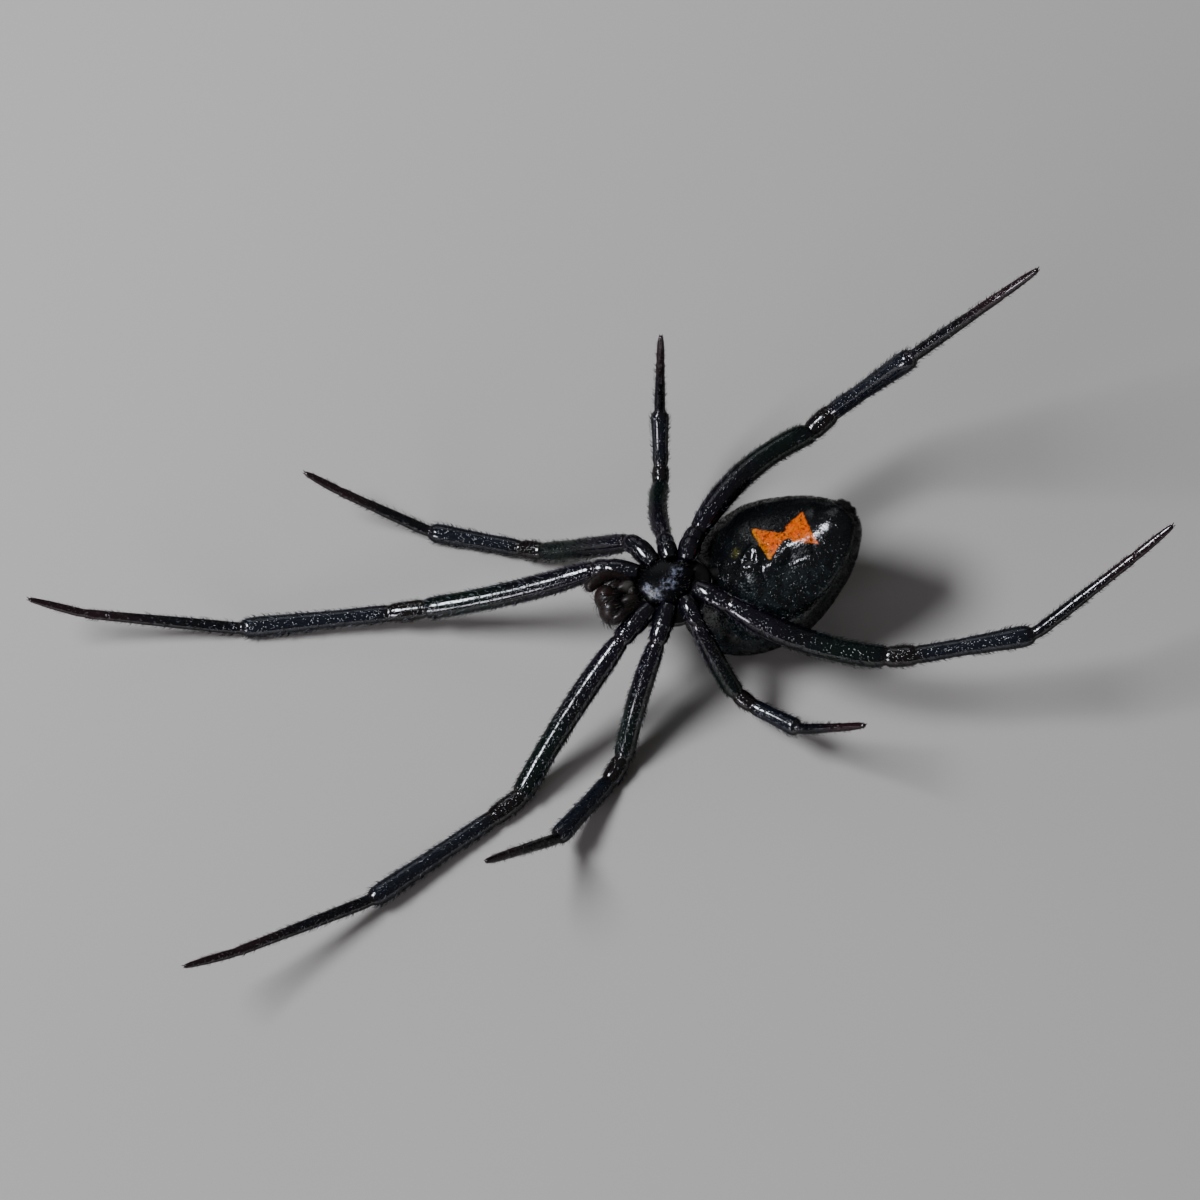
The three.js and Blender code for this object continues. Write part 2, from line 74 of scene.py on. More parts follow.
def makeCamera(view):
    # the camera stands off from its aim, which lies beside the sternum in the picture's own right and up
    right, up, towards = viewAxes(view["azimuth"], view["elevation"])
    aim = np.array(bodyFrame["sternum"]) + right * view["right"] + up * view["raised"]
    data = bpy.data.cameras.new("photo_camera")
    data.angle = rad(view["angle"])
    data.clip_start = view["nearest"] * metre
    item = bpy.data.objects.new("photo_camera", data)
    bpy.context.collection.objects.link(item)
    placeFacing(item, aim + towards * view["distance"], right, up, towards)
    bpy.context.scene.camera = item
    return aim, (right, up, towards)


photoAim, photoAxes = makeCamera(photoView)
print("camera placed")


def unit(vectors):
    return vectors / np.maximum(np.linalg.norm(vectors, axis=-1, keepdims=True), 1e-12)


def turned(vectors, axis, angle):
    # a vector turned about a unit axis by an angle in radians
    vectors, axis = np.asarray(vectors, float), np.asarray(axis, float)
    dot = (vectors * axis).sum(-1, keepdims=True)
    swung = vectors * np.cos(angle) + np.cross(axis, vectors) * np.sin(angle)
    return swung + axis * dot * (1 - np.cos(angle))


pitch = rad(bodyFrame["pitch"])
towardsTail = np.array([np.cos(pitch), 0, np.sin(pitch)])
towardsLeft = np.array([0.0, 1.0, 0.0])
towardsBelly = np.array([-np.sin(pitch), 0, np.cos(pitch)])


def bodyPoint(back, left, up):
    # the sternum's middle plus so much along each of the body's three ways
    back, left, up = np.broadcast_arrays(back, left, up)
    return (np.array(bodyFrame["sternum"]) + back[..., None] * towardsTail + left[..., None] * towardsLeft
            + up[..., None] * towardsBelly)


pathCorner = 0.45  # how far from a corner a path starts to round it, in millimetres


def chainPath(start, links, hinge, distance):
    # Points on a chain of straight lengths whose corners are rounded over a short reach on both sides. At a
    # distance d past a corner the point is the corner minus the old direction times (reach - d)^2 / 4
    # reach, plus the new direction times (reach + d)^2 / 4 reach. A bow lifts a length's middle by its
    # vector.
    ways = np.array([link["way"] for link in links])
    lengths = np.array([link["length"] for link in links])
    bows = np.array([link.get("bow", np.zeros(3)) for link in links])
    ends = np.concatenate([[0], np.cumsum(lengths)])
    corners = start + np.concatenate([np.zeros((1, 3)), np.cumsum(ways * lengths[:, None], 0)])
    last = len(links) - 1
    i = np.clip(np.searchsorted(ends, distance, side="right") - 1, 0, last)
    fromStart, toEnd = distance - ends[i], ends[i + 1] - distance
    corner = np.where(fromStart < toEnd, i, i + 1)
    past = np.where(fromStart < toEnd, fromStart, -toEnd)
    before, after = np.clip(corner - 1, 0, last), np.clip(corner, 0, last)
    reach = np.minimum(pathCorner, np.minimum(lengths[i], np.minimum(lengths[before], lengths[after])) / 2)
    rounded = ((corner > 0) & (corner <= last) & (np.abs(past) < reach))[:, None]
    early, late = ((reach - past) ** 2 / (4 * reach))[:, None], ((reach + past) ** 2 / (4 * reach))[:, None]
    straight = corners[corner] + ways[i] * past[:, None]
    curved = corners[corner] - ways[before] * early + ways[after] * late
    bent = unit(ways[before] * (reach - past)[:, None] + ways[after] * (reach + past)[:, None])
    point = np.where(rounded, curved, straight)
    tangent = np.where(rounded, bent, ways[i])
    share = np.clip(fromStart / lengths[i], 0, 1)[:, None]
    point = point + bows[i] * 4 * share * (1 - share)
    side = unit(hinge - tangent * (tangent @ hinge)[:, None])
    return point, side, np.cross(side, tangent)


def softened(values, spacing, width):
    # running average with a bell-shaped weight, the ends held
    half = int(np.ceil(3 * width / spacing))
    offsets = np.arange(-half, half + 1) * spacing
    weights = np.exp(-0.5 * (offsets / width) ** 2)
    return np.convolve(np.pad(values, half, mode="edge"), weights / weights.sum(), mode="valid")


def dent(distance, place, width, power=2):
    # a weight that is one at a place and falls as exp(-(distance / width)^power)
    return np.exp(-((distance - place) / width) ** power)


def slope(values, start, reach):
    # nought up to the start and one from a reach further on; a negative reach runs the other way
    return np.clip((values - start) / reach, 0, 1)


def meshObject(name, verts, quads, tris, material, uvs=None, floats=None):
    # verts in millimetres; quads and tris are rows of vertex numbers; uvs go by corner, floats by vertex
    corners = np.concatenate([np.asarray(quads, np.int64).ravel(), np.asarray(tris, np.int64).ravel()])
    sizes = np.concatenate([np.full(len(quads), 4), np.full(len(tris), 3)])
    mesh = bpy.data.meshes.new(name)
    mesh.vertices.add(len(verts))
    mesh.vertices.foreach_set("co", (np.asarray(verts) * metre).ravel())
    mesh.loops.add(len(corners))
    mesh.loops.foreach_set("vertex_index", corners.astype(np.int32))
    mesh.polygons.add(len(sizes))
    mesh.polygons.foreach_set("loop_start", np.concatenate([[0], np.cumsum(sizes)[:-1]]).astype(np.int32))
    mesh.update(calc_edges=True)
    mesh.shade_smooth()
    if uvs is not None:
        layer = mesh.uv_layers.new(name="OFBake")
        layer.data.foreach_set("uv", np.asarray(uvs, np.float32).ravel())
    for key, values in (floats or {}).items():
        layer = mesh.attributes.new(key, "FLOAT", "POINT")
        layer.data.foreach_set("value", np.asarray(values, np.float32).ravel())
    mesh.materials.append(material)
    item = bpy.data.objects.new(name, mesh)
    bpy.context.collection.objects.link(item)
    return item


def ringFaces(rows, columns, first):
    # quads between neighbouring rings and fans to the two poles, for a pole, rings and a pole in that order
    ring = first + 1 + np.arange(rows * columns).reshape(rows, columns)
    right = np.roll(ring, -1, 1)
    quads = np.stack([ring[:-1], right[:-1], right[1:], ring[1:]], -1).reshape(-1, 4)
    start = np.stack([np.full(columns, first), right[0], ring[0]], -1)
    end = np.stack([np.full(columns, first + 1 + rows * columns), ring[-1], right[-1]], -1)
    return quads, np.concatenate([start, end])


def outward(verts, quads, tris):
    # turns every face round if the shell's volume comes out negative
    fans = np.concatenate([quads[:, [0, 1, 2]], quads[:, [0, 2, 3]], tris])
    a, b, c = verts[fans[:, 0]], verts[fans[:, 1]], verts[fans[:, 2]]
    if np.einsum("ij,ij->i", a, np.cross(b, c)).sum() < 0:
        return quads[:, ::-1], tris[:, ::-1]
    return quads, tris


def surfacePiece(name, shells, material, floats=None):
    # shells: grids of rows x columns x 3 whose first and last rows are single points and whose columns
    # close
    verts, quads, tris, weights = [], [], [], {}
    for k, grid in enumerate(shells):
        first = sum(len(v) for v in verts)
        shell = np.concatenate([grid[0, :1], grid[1:-1].reshape(-1, 3), grid[-1, :1]])
        q, t = ringFaces(grid.shape[0] - 2, grid.shape[1], 0)
        q, t = outward(shell - shell.mean(0), q, t)
        verts.append(shell)
        quads.append(q + first)
        tris.append(t + first)
        for key, values in (floats or [{}] * len(shells))[k].items():
            spread = np.broadcast_to(values, grid.shape[:2])
            joined = np.concatenate([spread[0, :1], spread[1:-1].ravel(), spread[-1, :1]])
            weights.setdefault(key, []).append(joined)
    verts, quads, tris = (np.concatenate(parts) for parts in (verts, quads, tris))
    weights = {key: np.concatenate(values) for key, values in weights.items()}
    return meshObject(name, verts, quads, tris, material, floats=weights)


def aboveFloor(grid):
    # what would sink into the floor is pressed flat on it
    grid = grid.copy()
    grid[..., 2] = np.maximum(grid[..., 2], 0)
    return grid


def tubeGrid(start, links, hinge, distance, radius, columns):
    # rings round a chain path: each point is the path plus the radius times a turning mix of side and up
    point, side, up = chainPath(start, links, hinge, distance)
    angle = np.linspace(0, 2 * np.pi, columns, endpoint=False)
    ring = np.cos(angle)[None, :, None] * side[:, None] + np.sin(angle)[None, :, None] * up[:, None]
    return point[:, None] + radius[:, None, None] * ring


def linksThrough(points):
    # the lengths of a chain that runs through the points
    points = np.asarray(points, float)
    steps = np.diff(points, axis=0)
    return [{"way": unit(step), "length": float(np.linalg.norm(step))} for step in steps]


limbShape = {"fewestRows": 12, "samples": 400, "endReach": 0.6, "hinge": (0.31, 0.87, 0.38)}


def limbGrid(points, radii, columns=28, spacing=0.03, soft=0.05):
    # a round limb through a few points, with radii spread evenly along it and rounded ends
    links = linksThrough(points)
    total = sum(link["length"] for link in links)
    rows = max(limbShape["fewestRows"], int(total / spacing))
    t = 0.5 - 0.5 * np.cos(np.linspace(0, np.pi, rows))
    even, step = np.linspace(0, total, limbShape["samples"], retstep=True)
    smooth = softened(np.interp(even, np.linspace(0, total, len(radii)), radii), step, soft)
    distance = t * total
    radius = np.interp(distance, even, smooth)
    for end in (distance, total - distance):
        reach = limbShape["endReach"] * radius
        radius = radius * np.sqrt(1 - np.clip(1 - end / np.maximum(reach, 1e-6), 0, 1) ** 2)
    radius[0] = radius[-1] = 0
    hinge = unit(np.array(limbShape["hinge"]))
    return tubeGrid(np.asarray(points[0], float), links, hinge, distance, radius, columns)


def eggGrid(centre, halves, rows=28, columns=32):
    # an egg in the body's frame: half lengths towards the tail, the left and the belly
    t = np.linspace(0, np.pi, rows)[:, None]
    p = np.linspace(0, 2 * np.pi, columns, endpoint=False)[None]
    across, up = np.sin(t) * np.cos(p), np.sin(t) * np.sin(p)
    return bodyPoint(centre[0] - halves[0] * np.cos(t) + 0 * p, centre[1] + halves[1] * across,
                     centre[2] + halves[2] * up)


# For every coat: the scatter of the rise in degrees, the spread of length and thickness, how deep a root
# sits, the tip's share of the rise and the middle's share of the thickness, how far the tip and the root
# keep off the floor, and the size of a hair's patch in the UV map at the root and halfway.
hairShape = {"riseScatter": 8, "long": (0.65, 1.2), "wide": (0.8, 1.2), "sunk": 0.012, "tipRise": 0.45,
             "taper": 0.7, "tipClear": 0.02, "rootClear": 0.03, "patch": (0.0015, 0.0008)}


def hairCoat(name, grids, coats, material, seed, floats=None):
    # Each hair is a bent three-sided spike of seven points. Its root is picked on a grid with a chance that
    # follows the area and the coat's density, and it leans along the grid's rows, its tip more than its
    # root.
    rng = np.random.default_rng(seed)
    allVerts, allUvs, weights = [], [], {"chance": []}
    for k, (grid, hair) in enumerate(zip(grids, coats)):
        rows, columns = grid.shape[:2]
        along = np.gradient(grid, axis=0)
        across = np.roll(grid, -1, 1) - np.roll(grid, 1, 1)
        normal = np.cross(across, along)
        middle = grid.mean(1, keepdims=True)
        normal = normal * np.sign(((grid - middle) * normal).sum())
        area = np.linalg.norm(normal, axis=2) / 2
        chance = (area * hair.get("density", 1.0))[1:-2].ravel()
        count = hair["count"]
        cell = rng.choice(chance.size, count, p=chance / chance.sum())
        i, j = cell // columns + 1, cell % columns
        a, b = rng.random(count)[:, None], rng.random(count)[:, None]
        j2 = (j + 1) % columns

        def onGrid(values):
            low = values[i, j] * (1 - b) + values[i, j2] * b
            return low * (1 - a) + (values[i + 1, j] * (1 - b) + values[i + 1, j2] * b) * a

        root, n = onGrid(grid), unit(onGrid(normal))
        lean = unit(onGrid(along) + 1e-9)
        lean = unit(lean - n * (lean * n).sum(1, keepdims=True))
        sideways = np.cross(n, lean)
        lean = unit(lean + sideways * rng.normal(0, hair["scatter"], (count, 1)))
        sideways = np.cross(n, lean)
        rise = rad(hair["rise"] + rng.normal(0, hairShape["riseScatter"], (count, 1)))
        scale = hair.get("lengths", np.ones(rows))[i][:, None]
        long = hair["length"] * scale * rng.uniform(*hairShape["long"], (count, 1))
        wide = hair["thick"] * rng.uniform(*hairShape["wide"], (count, 1))
        first = lean * np.cos(rise) + n * np.sin(rise)
        tipRise = rise * hairShape["tipRise"]
        later = lean * np.cos(tipRise) + n * np.sin(tipRise)
        base = root - n * hairShape["sunk"]
        mid = base + first * long * 0.5
        tip = mid + later * long * 0.5
        clear = (tip[:, 2] > hairShape["tipClear"]) & (root[:, 2] > hairShape["rootClear"])
        thickness = np.cross(first, sideways)
        verts = np.zeros((count, 7, 3))
        for s in range(3):
            angle = 2 * np.pi * s / 3
            ring = np.cos(angle) * sideways + np.sin(angle) * thickness
            verts[:, s] = base + ring * wide
            verts[:, 3 + s] = mid + ring * wide * hairShape["taper"]
        verts[:, 6] = tip
        verts[..., 2] = np.maximum(verts[..., 2], 0)
        uv = np.stack([(i + a[:, 0]) / rows, (j + b[:, 0]) / columns], 1) * 0.99 + 0.005
        if len(grids) > 1:  # every grid gets a square of its own in the UV map
            uv = (uv + [k % 4, k // 4]) / 4
        picked = rng.random(count) * hair.get("paleness", np.ones(rows))[i]
        weights["chance"].append(np.repeat(picked[clear], 7))
        allVerts.append(verts[clear])
        allUvs.append(uv[clear])
        for key, values in (floats or [{}] * len(grids))[k].items():
            spread = np.broadcast_to(values, grid.shape[:2])
            weights.setdefault(key, []).append(np.repeat(spread[i, j][clear], 7))
    verts, uv = np.concatenate(allVerts), np.concatenate(allUvs)
    count = len(verts)
    first = 7 * np.arange(count)[:, None, None]
    quads = (first + np.array([[0, 1, 4, 3], [1, 2, 5, 4], [2, 0, 3, 5]])).reshape(-1, 4)
    tris = (first + np.array([[3, 4, 6], [4, 5, 6], [5, 3, 6]])).reshape(-1, 3)
    turn = 2 * np.pi * (np.arange(6) % 3) / 3
    reach = np.repeat(hairShape["patch"], 3)
    patch = np.concatenate([np.stack([np.cos(turn), np.sin(turn)], 1) * reach[:, None], np.zeros((1, 2))])
    vertexUv = (uv[:, None] + patch).reshape(-1, 2)
    uvs = vertexUv[np.concatenate([quads.ravel(), tris.ravel()])]
    joined = {key: np.concatenate(values) for key, values in weights.items()}
    return meshObject(name, verts.reshape(-1, 3), quads, tris, material, uvs, joined)


class Value:
    # a socket that can be used in Python sums
    def __init__(self, finish, socket):
        self.finish = finish
        self.socket = socket

    def maths(self, operation, a, b):
        return self.finish.node("ShaderNodeMath", {"operation": operation}, {0: a, 1: b})

    def __add__(self, other):
        return self.maths("ADD", self, other)

    def __radd__(self, other):
        return self.maths("ADD", other, self)

    def __sub__(self, other):
        return self.maths("SUBTRACT", self, other)

    def __rsub__(self, other):
        return self.maths("SUBTRACT", other, self)

    def __mul__(self, other):
        return self.maths("MULTIPLY", self, other)

    def __rmul__(self, other):
        return self.maths("MULTIPLY", other, self)

    def __abs__(self):
        return self.finish.node("ShaderNodeMath", {"operation": "ABSOLUTE"}, {0: self})


# The gloss over a shell: its share in full view, how far towards the rim the share holds and where it has
# gone, the blend of the facing weight and the gloss's index of refraction.
glossCoat = {"share": 0.95, "hold": 0.12, "gone": 0.5, "blend": 0.5, "index": 2.0}


class Finish:
    # one procedural material round a Principled shader
    def __init__(self, name):
        self.material = bpy.data.materials.new(name)
        self.material.use_nodes = True
        self.tree = self.material.node_tree
        self.shader = self.tree.nodes["Principled BSDF"]
        self.tone = colour(0.5, 0.5, 0.5)

    def node(self, kind, settings=None, inputs=None, output=0):
        node = self.tree.nodes.new(kind)
        for key, value in (settings or {}).items():
            setattr(node, key, value)
        for key, value in (inputs or {}).items():
            if isinstance(value, Value):
                self.tree.links.new(value.socket, node.inputs[key])
            else:
                node.inputs[key].default_value = value
        return Value(self, node.outputs[output])

    def set(self, **sockets):
        for key, value in sockets.items():
            name = {"baseColor": "Base Color", "specular": "Specular IOR Level"}.get(key, key.capitalize())
            if key == "baseColor":
                self.tone = value
            if isinstance(value, Value):
                self.tree.links.new(value.socket, self.shader.inputs[name])
            else:
                self.shader.inputs[name].default_value = value
        return self.material

    def place(self):
        return self.node("ShaderNodeTexCoord", output="Object")

    def noise(self, perMm, detail=3, roughness=0.55):
        return self.node("ShaderNodeTexNoise", {}, {"Vector": self.place(), "Scale": perMm / metre,
                                                    "Detail": detail, "Roughness": roughness}, "Fac")

    def clouds(self, perMm, low, high, start=0.0, end=1.0, detail=3, roughness=0.55):
        # noise that goes from start to end between a low and a high value
        return self.ramp(self.noise(perMm, detail, roughness), low, high, start, end)

    def cells(self, perMm, output="Distance"):
        inputs = {"Vector": self.place(), "Scale": perMm / metre}
        return self.node("ShaderNodeTexVoronoi", {}, inputs, output)

    def ramp(self, value, low, high, start=0.0, end=1.0, smooth=True):
        style = "SMOOTHSTEP" if smooth else "LINEAR"
        return self.node("ShaderNodeMapRange", {"interpolation_type": style},
                         {"Value": value, "From Min": low, "From Max": high, "To Min": start, "To Max": end})

    def mix(self, factor, a, b):
        return self.node("ShaderNodeMix", {"data_type": "RGBA"}, {0: factor, 6: a, 7: b}, 2)

    def weight(self, name):
        return self.node("ShaderNodeAttribute", {"attribute_name": name}, output="Fac")

    def bump(self, height, deep, strength, under=None):
        inputs = {"Height": height, "Distance": deep * metre, "Strength": strength}
        if under:
            inputs["Normal"] = under
        return self.node("ShaderNodeBump", {}, inputs)

    def lacquer(self, normal, roughness, most=glossCoat["share"], bare=0.0):
        # Over the plain shader lies a glossy one of the same colour. Its share falls towards the rim, where
        # a real shell is dulled by fine down, and where the skin is bare of gloss.
        facing = self.node("ShaderNodeLayerWeight", {}, {"Blend": glossCoat["blend"]}, "Facing")
        share = self.ramp(facing, glossCoat["hold"], glossCoat["gone"], most, 0.0) * (1 - bare)
        self.set(normal=normal)
        plain = Value(self, self.shader.outputs[0])
        gloss = self.node("ShaderNodeBsdfPrincipled", {}, {"Base Color": self.tone, "Roughness": roughness,
                                                           "IOR": glossCoat["index"], "Normal": normal})
        mixed = self.node("ShaderNodeMixShader", {}, {0: share, 1: plain, 2: gloss})
        self.tree.links.new(mixed.socket, self.tree.nodes["Material Output"].inputs["Surface"])
        return self.material

    def reach(self, place):
        # the distance from a place, in millimetres
        return self.node("ShaderNodeVectorMath", {"operation": "DISTANCE"},
                         {0: self.place(), 1: tuple(np.asarray(place) * metre)}, "Value") * (1 / metre)

    def along(self, axis, origin):
        # how far a place lies along an axis from an origin, in millimetres
        moved = self.node("ShaderNodeVectorMath", {"operation": "SUBTRACT"},
                          {0: self.place(), 1: tuple(np.asarray(origin) * metre)})
        return self.node("ShaderNodeVectorMath", {"operation": "DOT_PRODUCT"},
                         {0: moved, 1: tuple(np.asarray(axis) / metre)}, "Value")


def colour(r, g, b):
    return (r, g, b, 1.0)


# A leg's root is its place in the body's frame. Its lengths run from the coxa to the tarsus, and its radii
# are those of the coxa, femur, patella, tibia, the tibia's far end, metatarsus and tarsus.
legPairs = {
    1: {"root": (-0.9, 0.8, -0.35), "lengths": (1.22, 0.57, 7.3, 1.46, 5.97, 6.28, 2.35),
        "radii": (0.45, 0.47, 0.4, 0.34, 0.42, 0.25, 0.18)},
    2: {"root": (-0.2, 0.95, -0.4), "lengths": (1.09, 0.52, 4.97, 1.09, 3.79, 4.03, 1.7),
        "radii": (0.43, 0.42, 0.38, 0.34, 0.4, 0.23, 0.18)},
    3: {"root": (0.45, 0.9, -0.4), "lengths": (0.76, 0.4, 3.54, 0.81, 2.23, 2.46, 1.31),
        "radii": (0.4, 0.38, 0.34, 0.31, 0.37, 0.22, 0.17)},
    4: {"root": (1.0, 0.6, -0.4), "lengths": (0.97, 0.53, 6.5, 1.2, 4.65, 5.01, 2.0),
        "radii": (0.45, 0.5, 0.43, 0.34, 0.44, 0.26, 0.19)},
}
# Headings run from the head towards the leg's own side, rises are from the floor, lean turns the plane in
# which the leg bends, and knee to toe are the bends in that plane, all in degrees. Bow and sway are in
# millimetres.
poseTerms = ("coxaHeading", "coxaRise", "heading", "rise", "lean", "bow", "sway", "knee", "shin", "turn",
             "ankle", "toe")
legPoses = {
    "left_1": (28.3, -4.9, 16.8, -23.9, 8.4, 0.15, 0.08, 9.4, 8.5, 5.5, 18.5, 14.3),
    "right_1": (28.9, -9.1, 34.2, -30.1, -26.5, 0, 0.2, 28.9, 6.6, -2.1, 15.8, 6.4),
    "left_2": (69.1, -3, 41.8, -43, -1.3, 0.05, 0.03, 19.9, 20.9, 10.1, 29, 6.5),
    "right_2": (54.3, -13.6, 50.2, -45.5, -14.9, 0, 0.1, 35.8, 26.2, -2, 29.9, 0),
    "left_3": (94, -5.1, 105.5, -24.2, 4.3, 0.05, 0.17, 36.7, 31, 3.6, 26, 0.9),
    "right_3": (96.8, -4.8, 115.3, -49.8, 19.5, 0.05, 0.05, 38.6, 22.9, 5.4, 32.8, 1.5),
    "left_4": (120.3, -5.6, 151.6, -1.8, 18.9, 0, 0.5, 27.9, 31.8, -7.8, 0, -1.7),
    "right_4": (127.7, 1.7, 145.8, -8.6, 37.2, 0.3, 0.3, 25.2, 3.8, -5, 29.4, 1.5),
}
# grooves are the joints with their depth, as a share of the radius, and their width; the last three set where
# the painted sheen lies on the shin and the femur
legLook = {"spacing": 0.07, "columns": 36, "soft": 0.09, "tipReach": 0.5,
           "grooves": ((1, 0.05, 0.06), (2, 0.13, 0.07), (3, 0.14, 0.07), (4, 0.09, 0.06), (5, 0.12, 0.06),
                       (6, 0.07, 0.05)),
           "amberReach": 0.13, "patellaReach": 0.42, "shinSheen": (0.6, 0.4, 0.8), "greenSheen": (0.75, 0.22),
           "violetSheen": (0.1, 0.3)}


def legChain(name, side):
    # the ways of a leg's seven segments, each turned from the last by the bend at its joint
    pair, pose = legPairs[int(name[-1])], dict(zip(poseTerms, legPoses[name]))

    def headed(turn, rise):
        turn, rise = rad(turn), rad(rise)
        return np.array([-np.cos(turn) * np.cos(rise), side * np.sin(turn) * np.cos(rise), np.sin(rise)])

    coxaWay, way = headed(pose["coxaHeading"], pose["coxaRise"]), headed(pose["heading"], pose["rise"])
    hinge = turned(unit(np.cross(way, [0, 0, 1.0])), way, side * rad(pose["lean"]))
    bow = np.cross(way, hinge) * pose["bow"] - hinge * side * pose["sway"]
    ways = [coxaWay, unit(coxaWay + way), way]
    way = turned(way, hinge, rad(pose["knee"]))
    ways.append(way)
    way = turned(way, hinge, rad(pose["shin"]))
    sideways = np.cross(hinge, way)
    hinge, way = (turned(v, sideways, side * rad(pose["turn"])) for v in (hinge, way))
    ways.append(way)
    for joint in ("ankle", "toe"):
        way = turned(way, hinge, rad(pose[joint]))
        ways.append(way)
    links = [{"way": w, "length": length} for w, length in zip(ways, pair["lengths"])]
    links[2]["bow"] = bow
    back, left, up = pair["root"]
    return bodyPoint(back, side * left, up), links, hinge


def legProfile(pair, ends):
    # distance and radius at the stations of a leg, from inside the body to the tip
    coxa, femur, patella, tibia, tibiaEnd, metatarsus, tarsus = pair["radii"]
    stations = (
        (0, (0, 0.3, 0.6, 0.88, 1), (coxa * 0.72, coxa * 0.91, coxa, coxa * 0.99, coxa * 0.88)),
        (1, (0.3, 0.7, 1), (coxa * 0.92, coxa * 0.9, femur * 0.76)),
        (2, (0.06, 0.15, 0.3, 0.5, 0.7, 0.87, 0.95, 1),
         (femur * 0.86, femur * 0.95, femur, femur, femur * 0.96, femur * 0.97, femur * 0.95, femur * 0.82)),
        (3, (0.3, 0.75, 1), (patella, patella, patella * 0.84)),
        (4, (0.1, 0.35, 0.65, 0.88, 0.96, 1),
         (tibia * 1.05, tibia, (tibia + tibiaEnd) / 2, tibiaEnd, tibiaEnd * 0.92, metatarsus * 0.96)),
        (5, (0.12, 0.4, 0.75, 0.96, 1),
         (metatarsus, metatarsus * 0.95, metatarsus * 0.8, tarsus * 1.08, tarsus * 0.94)),
        (6, (0.15, 0.6, 0.9, 1), (tarsus, tarsus * 0.86, tarsus * 0.62, tarsus * 0.4)),
    )
    places = [ends[i] + (ends[i + 1] - ends[i]) * np.array(shares) for i, shares, radii in stations]
    return np.concatenate(places), np.concatenate([radii for i, shares, radii in stations])


def legGrid(name, side):
    # rings along the leg's chain, drawn in at its joints and closed by a round tip, with weights for tints,
    # some of which are painted sheen
    pair = legPairs[int(name[-1])]
    start, links, hinge = legChain(name, side)
    ends = np.concatenate([[0], np.cumsum(pair["lengths"])])
    total = ends[-1]
    distance = np.linspace(0, total, int(total / legLook["spacing"]))
    places, radii = legProfile(pair, ends)
    radius = softened(np.interp(distance, places, radii), distance[1], legLook["soft"])
    for joint, deep, width in legLook["grooves"]:
        radius = radius * (1 - deep * dent(distance, ends[joint], width))
    reach = legLook["tipReach"] * radius[-3]
    radius = radius * np.sqrt(1 - np.clip(1 - (total - distance) / reach, 0, 1) ** 2)
    distance = np.concatenate([[0], distance])
    radius = np.concatenate([[0], radius])
    radius[-1] = 0
    grid = tubeGrid(start, links, hinge, distance, radius, legLook["columns"])
    joints = sum(dent(distance, ends[j], legLook["amberReach"]) for j in (2, 3, 4, 5))
    patella = dent(distance, (ends[3] + ends[4]) / 2, legLook["patellaReach"] * pair["lengths"][3], 4)
    # the shin weight and the two weights on the femur place painted sheen
    rising, over, falling = legLook["shinSheen"]
    share = (distance - ends[2]) / pair["lengths"][2]
    weights = {"amber": np.clip(joints + patella, 0, 1),
               "shinSheen": slope(distance, ends[4], rising) * slope(distance, ends[5] + over, -falling),
               "rust": slope(distance, (ends[5] + ends[6]) / 2, total - ends[6]),
               "greenSheen": dent(share, *legLook["greenSheen"]), "violetSheen": dent(share, *legLook["violetSheen"])}
    return aboveFloor(grid), distance, ends, {key: values[:, None] for key, values in weights.items()}


# tints: the weight on the leg that brings each, its share and its colour; three of them are painted sheen,
# the amber and rust ones the shell's own colour
legTones = {"shell": (0.0025, 0.0025, 0.0035), "hair": (0.0025, 0.0025, 0.003), "lighter": (1.6, 1.5, 2.2),
            "tints": (("greenSheen", 0.8, (0.002, 0.01, 0.0065)), ("violetSheen", 0.8, (0.006, 0.004, 0.011)),
                      ("shinSheen", 0.7, (0.0095, 0.0125, 0.021)), ("amber", 0.35, (0.018, 0.0085, 0.0045)),
                      ("rust", 0.85, (0.022, 0.0075, 0.0095))),
            "clouds": (1.3, 0.35, 0.7), "paleGlintHair": (0.26, 0.28, 0.33), "paleShare": 0.15}
# clouds and roughness: noise per millimetre, where it starts and ends to rise, and what it rises from and
# to; bumps: their height in millimetres and their strength
legShine = {"roughness": (5, 0.3, 0.75, 0.13, 0.21), "shinDull": 0.08, "cells": 9.5, "cellEdge": (0.4, 0.05),
            "cellBump": (0.02, 0.8), "swells": (2.6, 2), "swellBump": (0.012, 0.35), "gloss": 0.11}


def legTone(finish, base):
    # black with lighter clouds, browner at the joints, bluer on the shins and redder at the feet; the blue of
    # the shins and the greenish and purplish tints on the femur are painted sheen
    lighter = [b * c for b, c in zip(base, legTones["lighter"])]
    tone = finish.mix(finish.clouds(*legTones["clouds"]), colour(*base), colour(*lighter))
    for weight, share, tint in legTones["tints"]:
        tone = finish.mix(finish.weight(weight) * share, tone, colour(*tint))
    return tone


def legShellFinish():
    # glossy and finely grained, a little duller on the shins
    finish = Finish("black_leg_shell")
    dull = finish.weight("shinSheen") * legShine["shinDull"]
    finish.set(baseColor=legTone(finish, legTones["shell"]), specular=0.12,
               roughness=finish.clouds(*legShine["roughness"]) + dull)
    domes = finish.ramp(finish.cells(legShine["cells"]), *legShine["cellEdge"])
    grain = finish.bump(domes, *legShine["cellBump"])
    grain = finish.bump(finish.noise(*legShine["swells"]), *legShine["swellBump"], grain)
    return finish.lacquer(grain, legShine["gloss"])


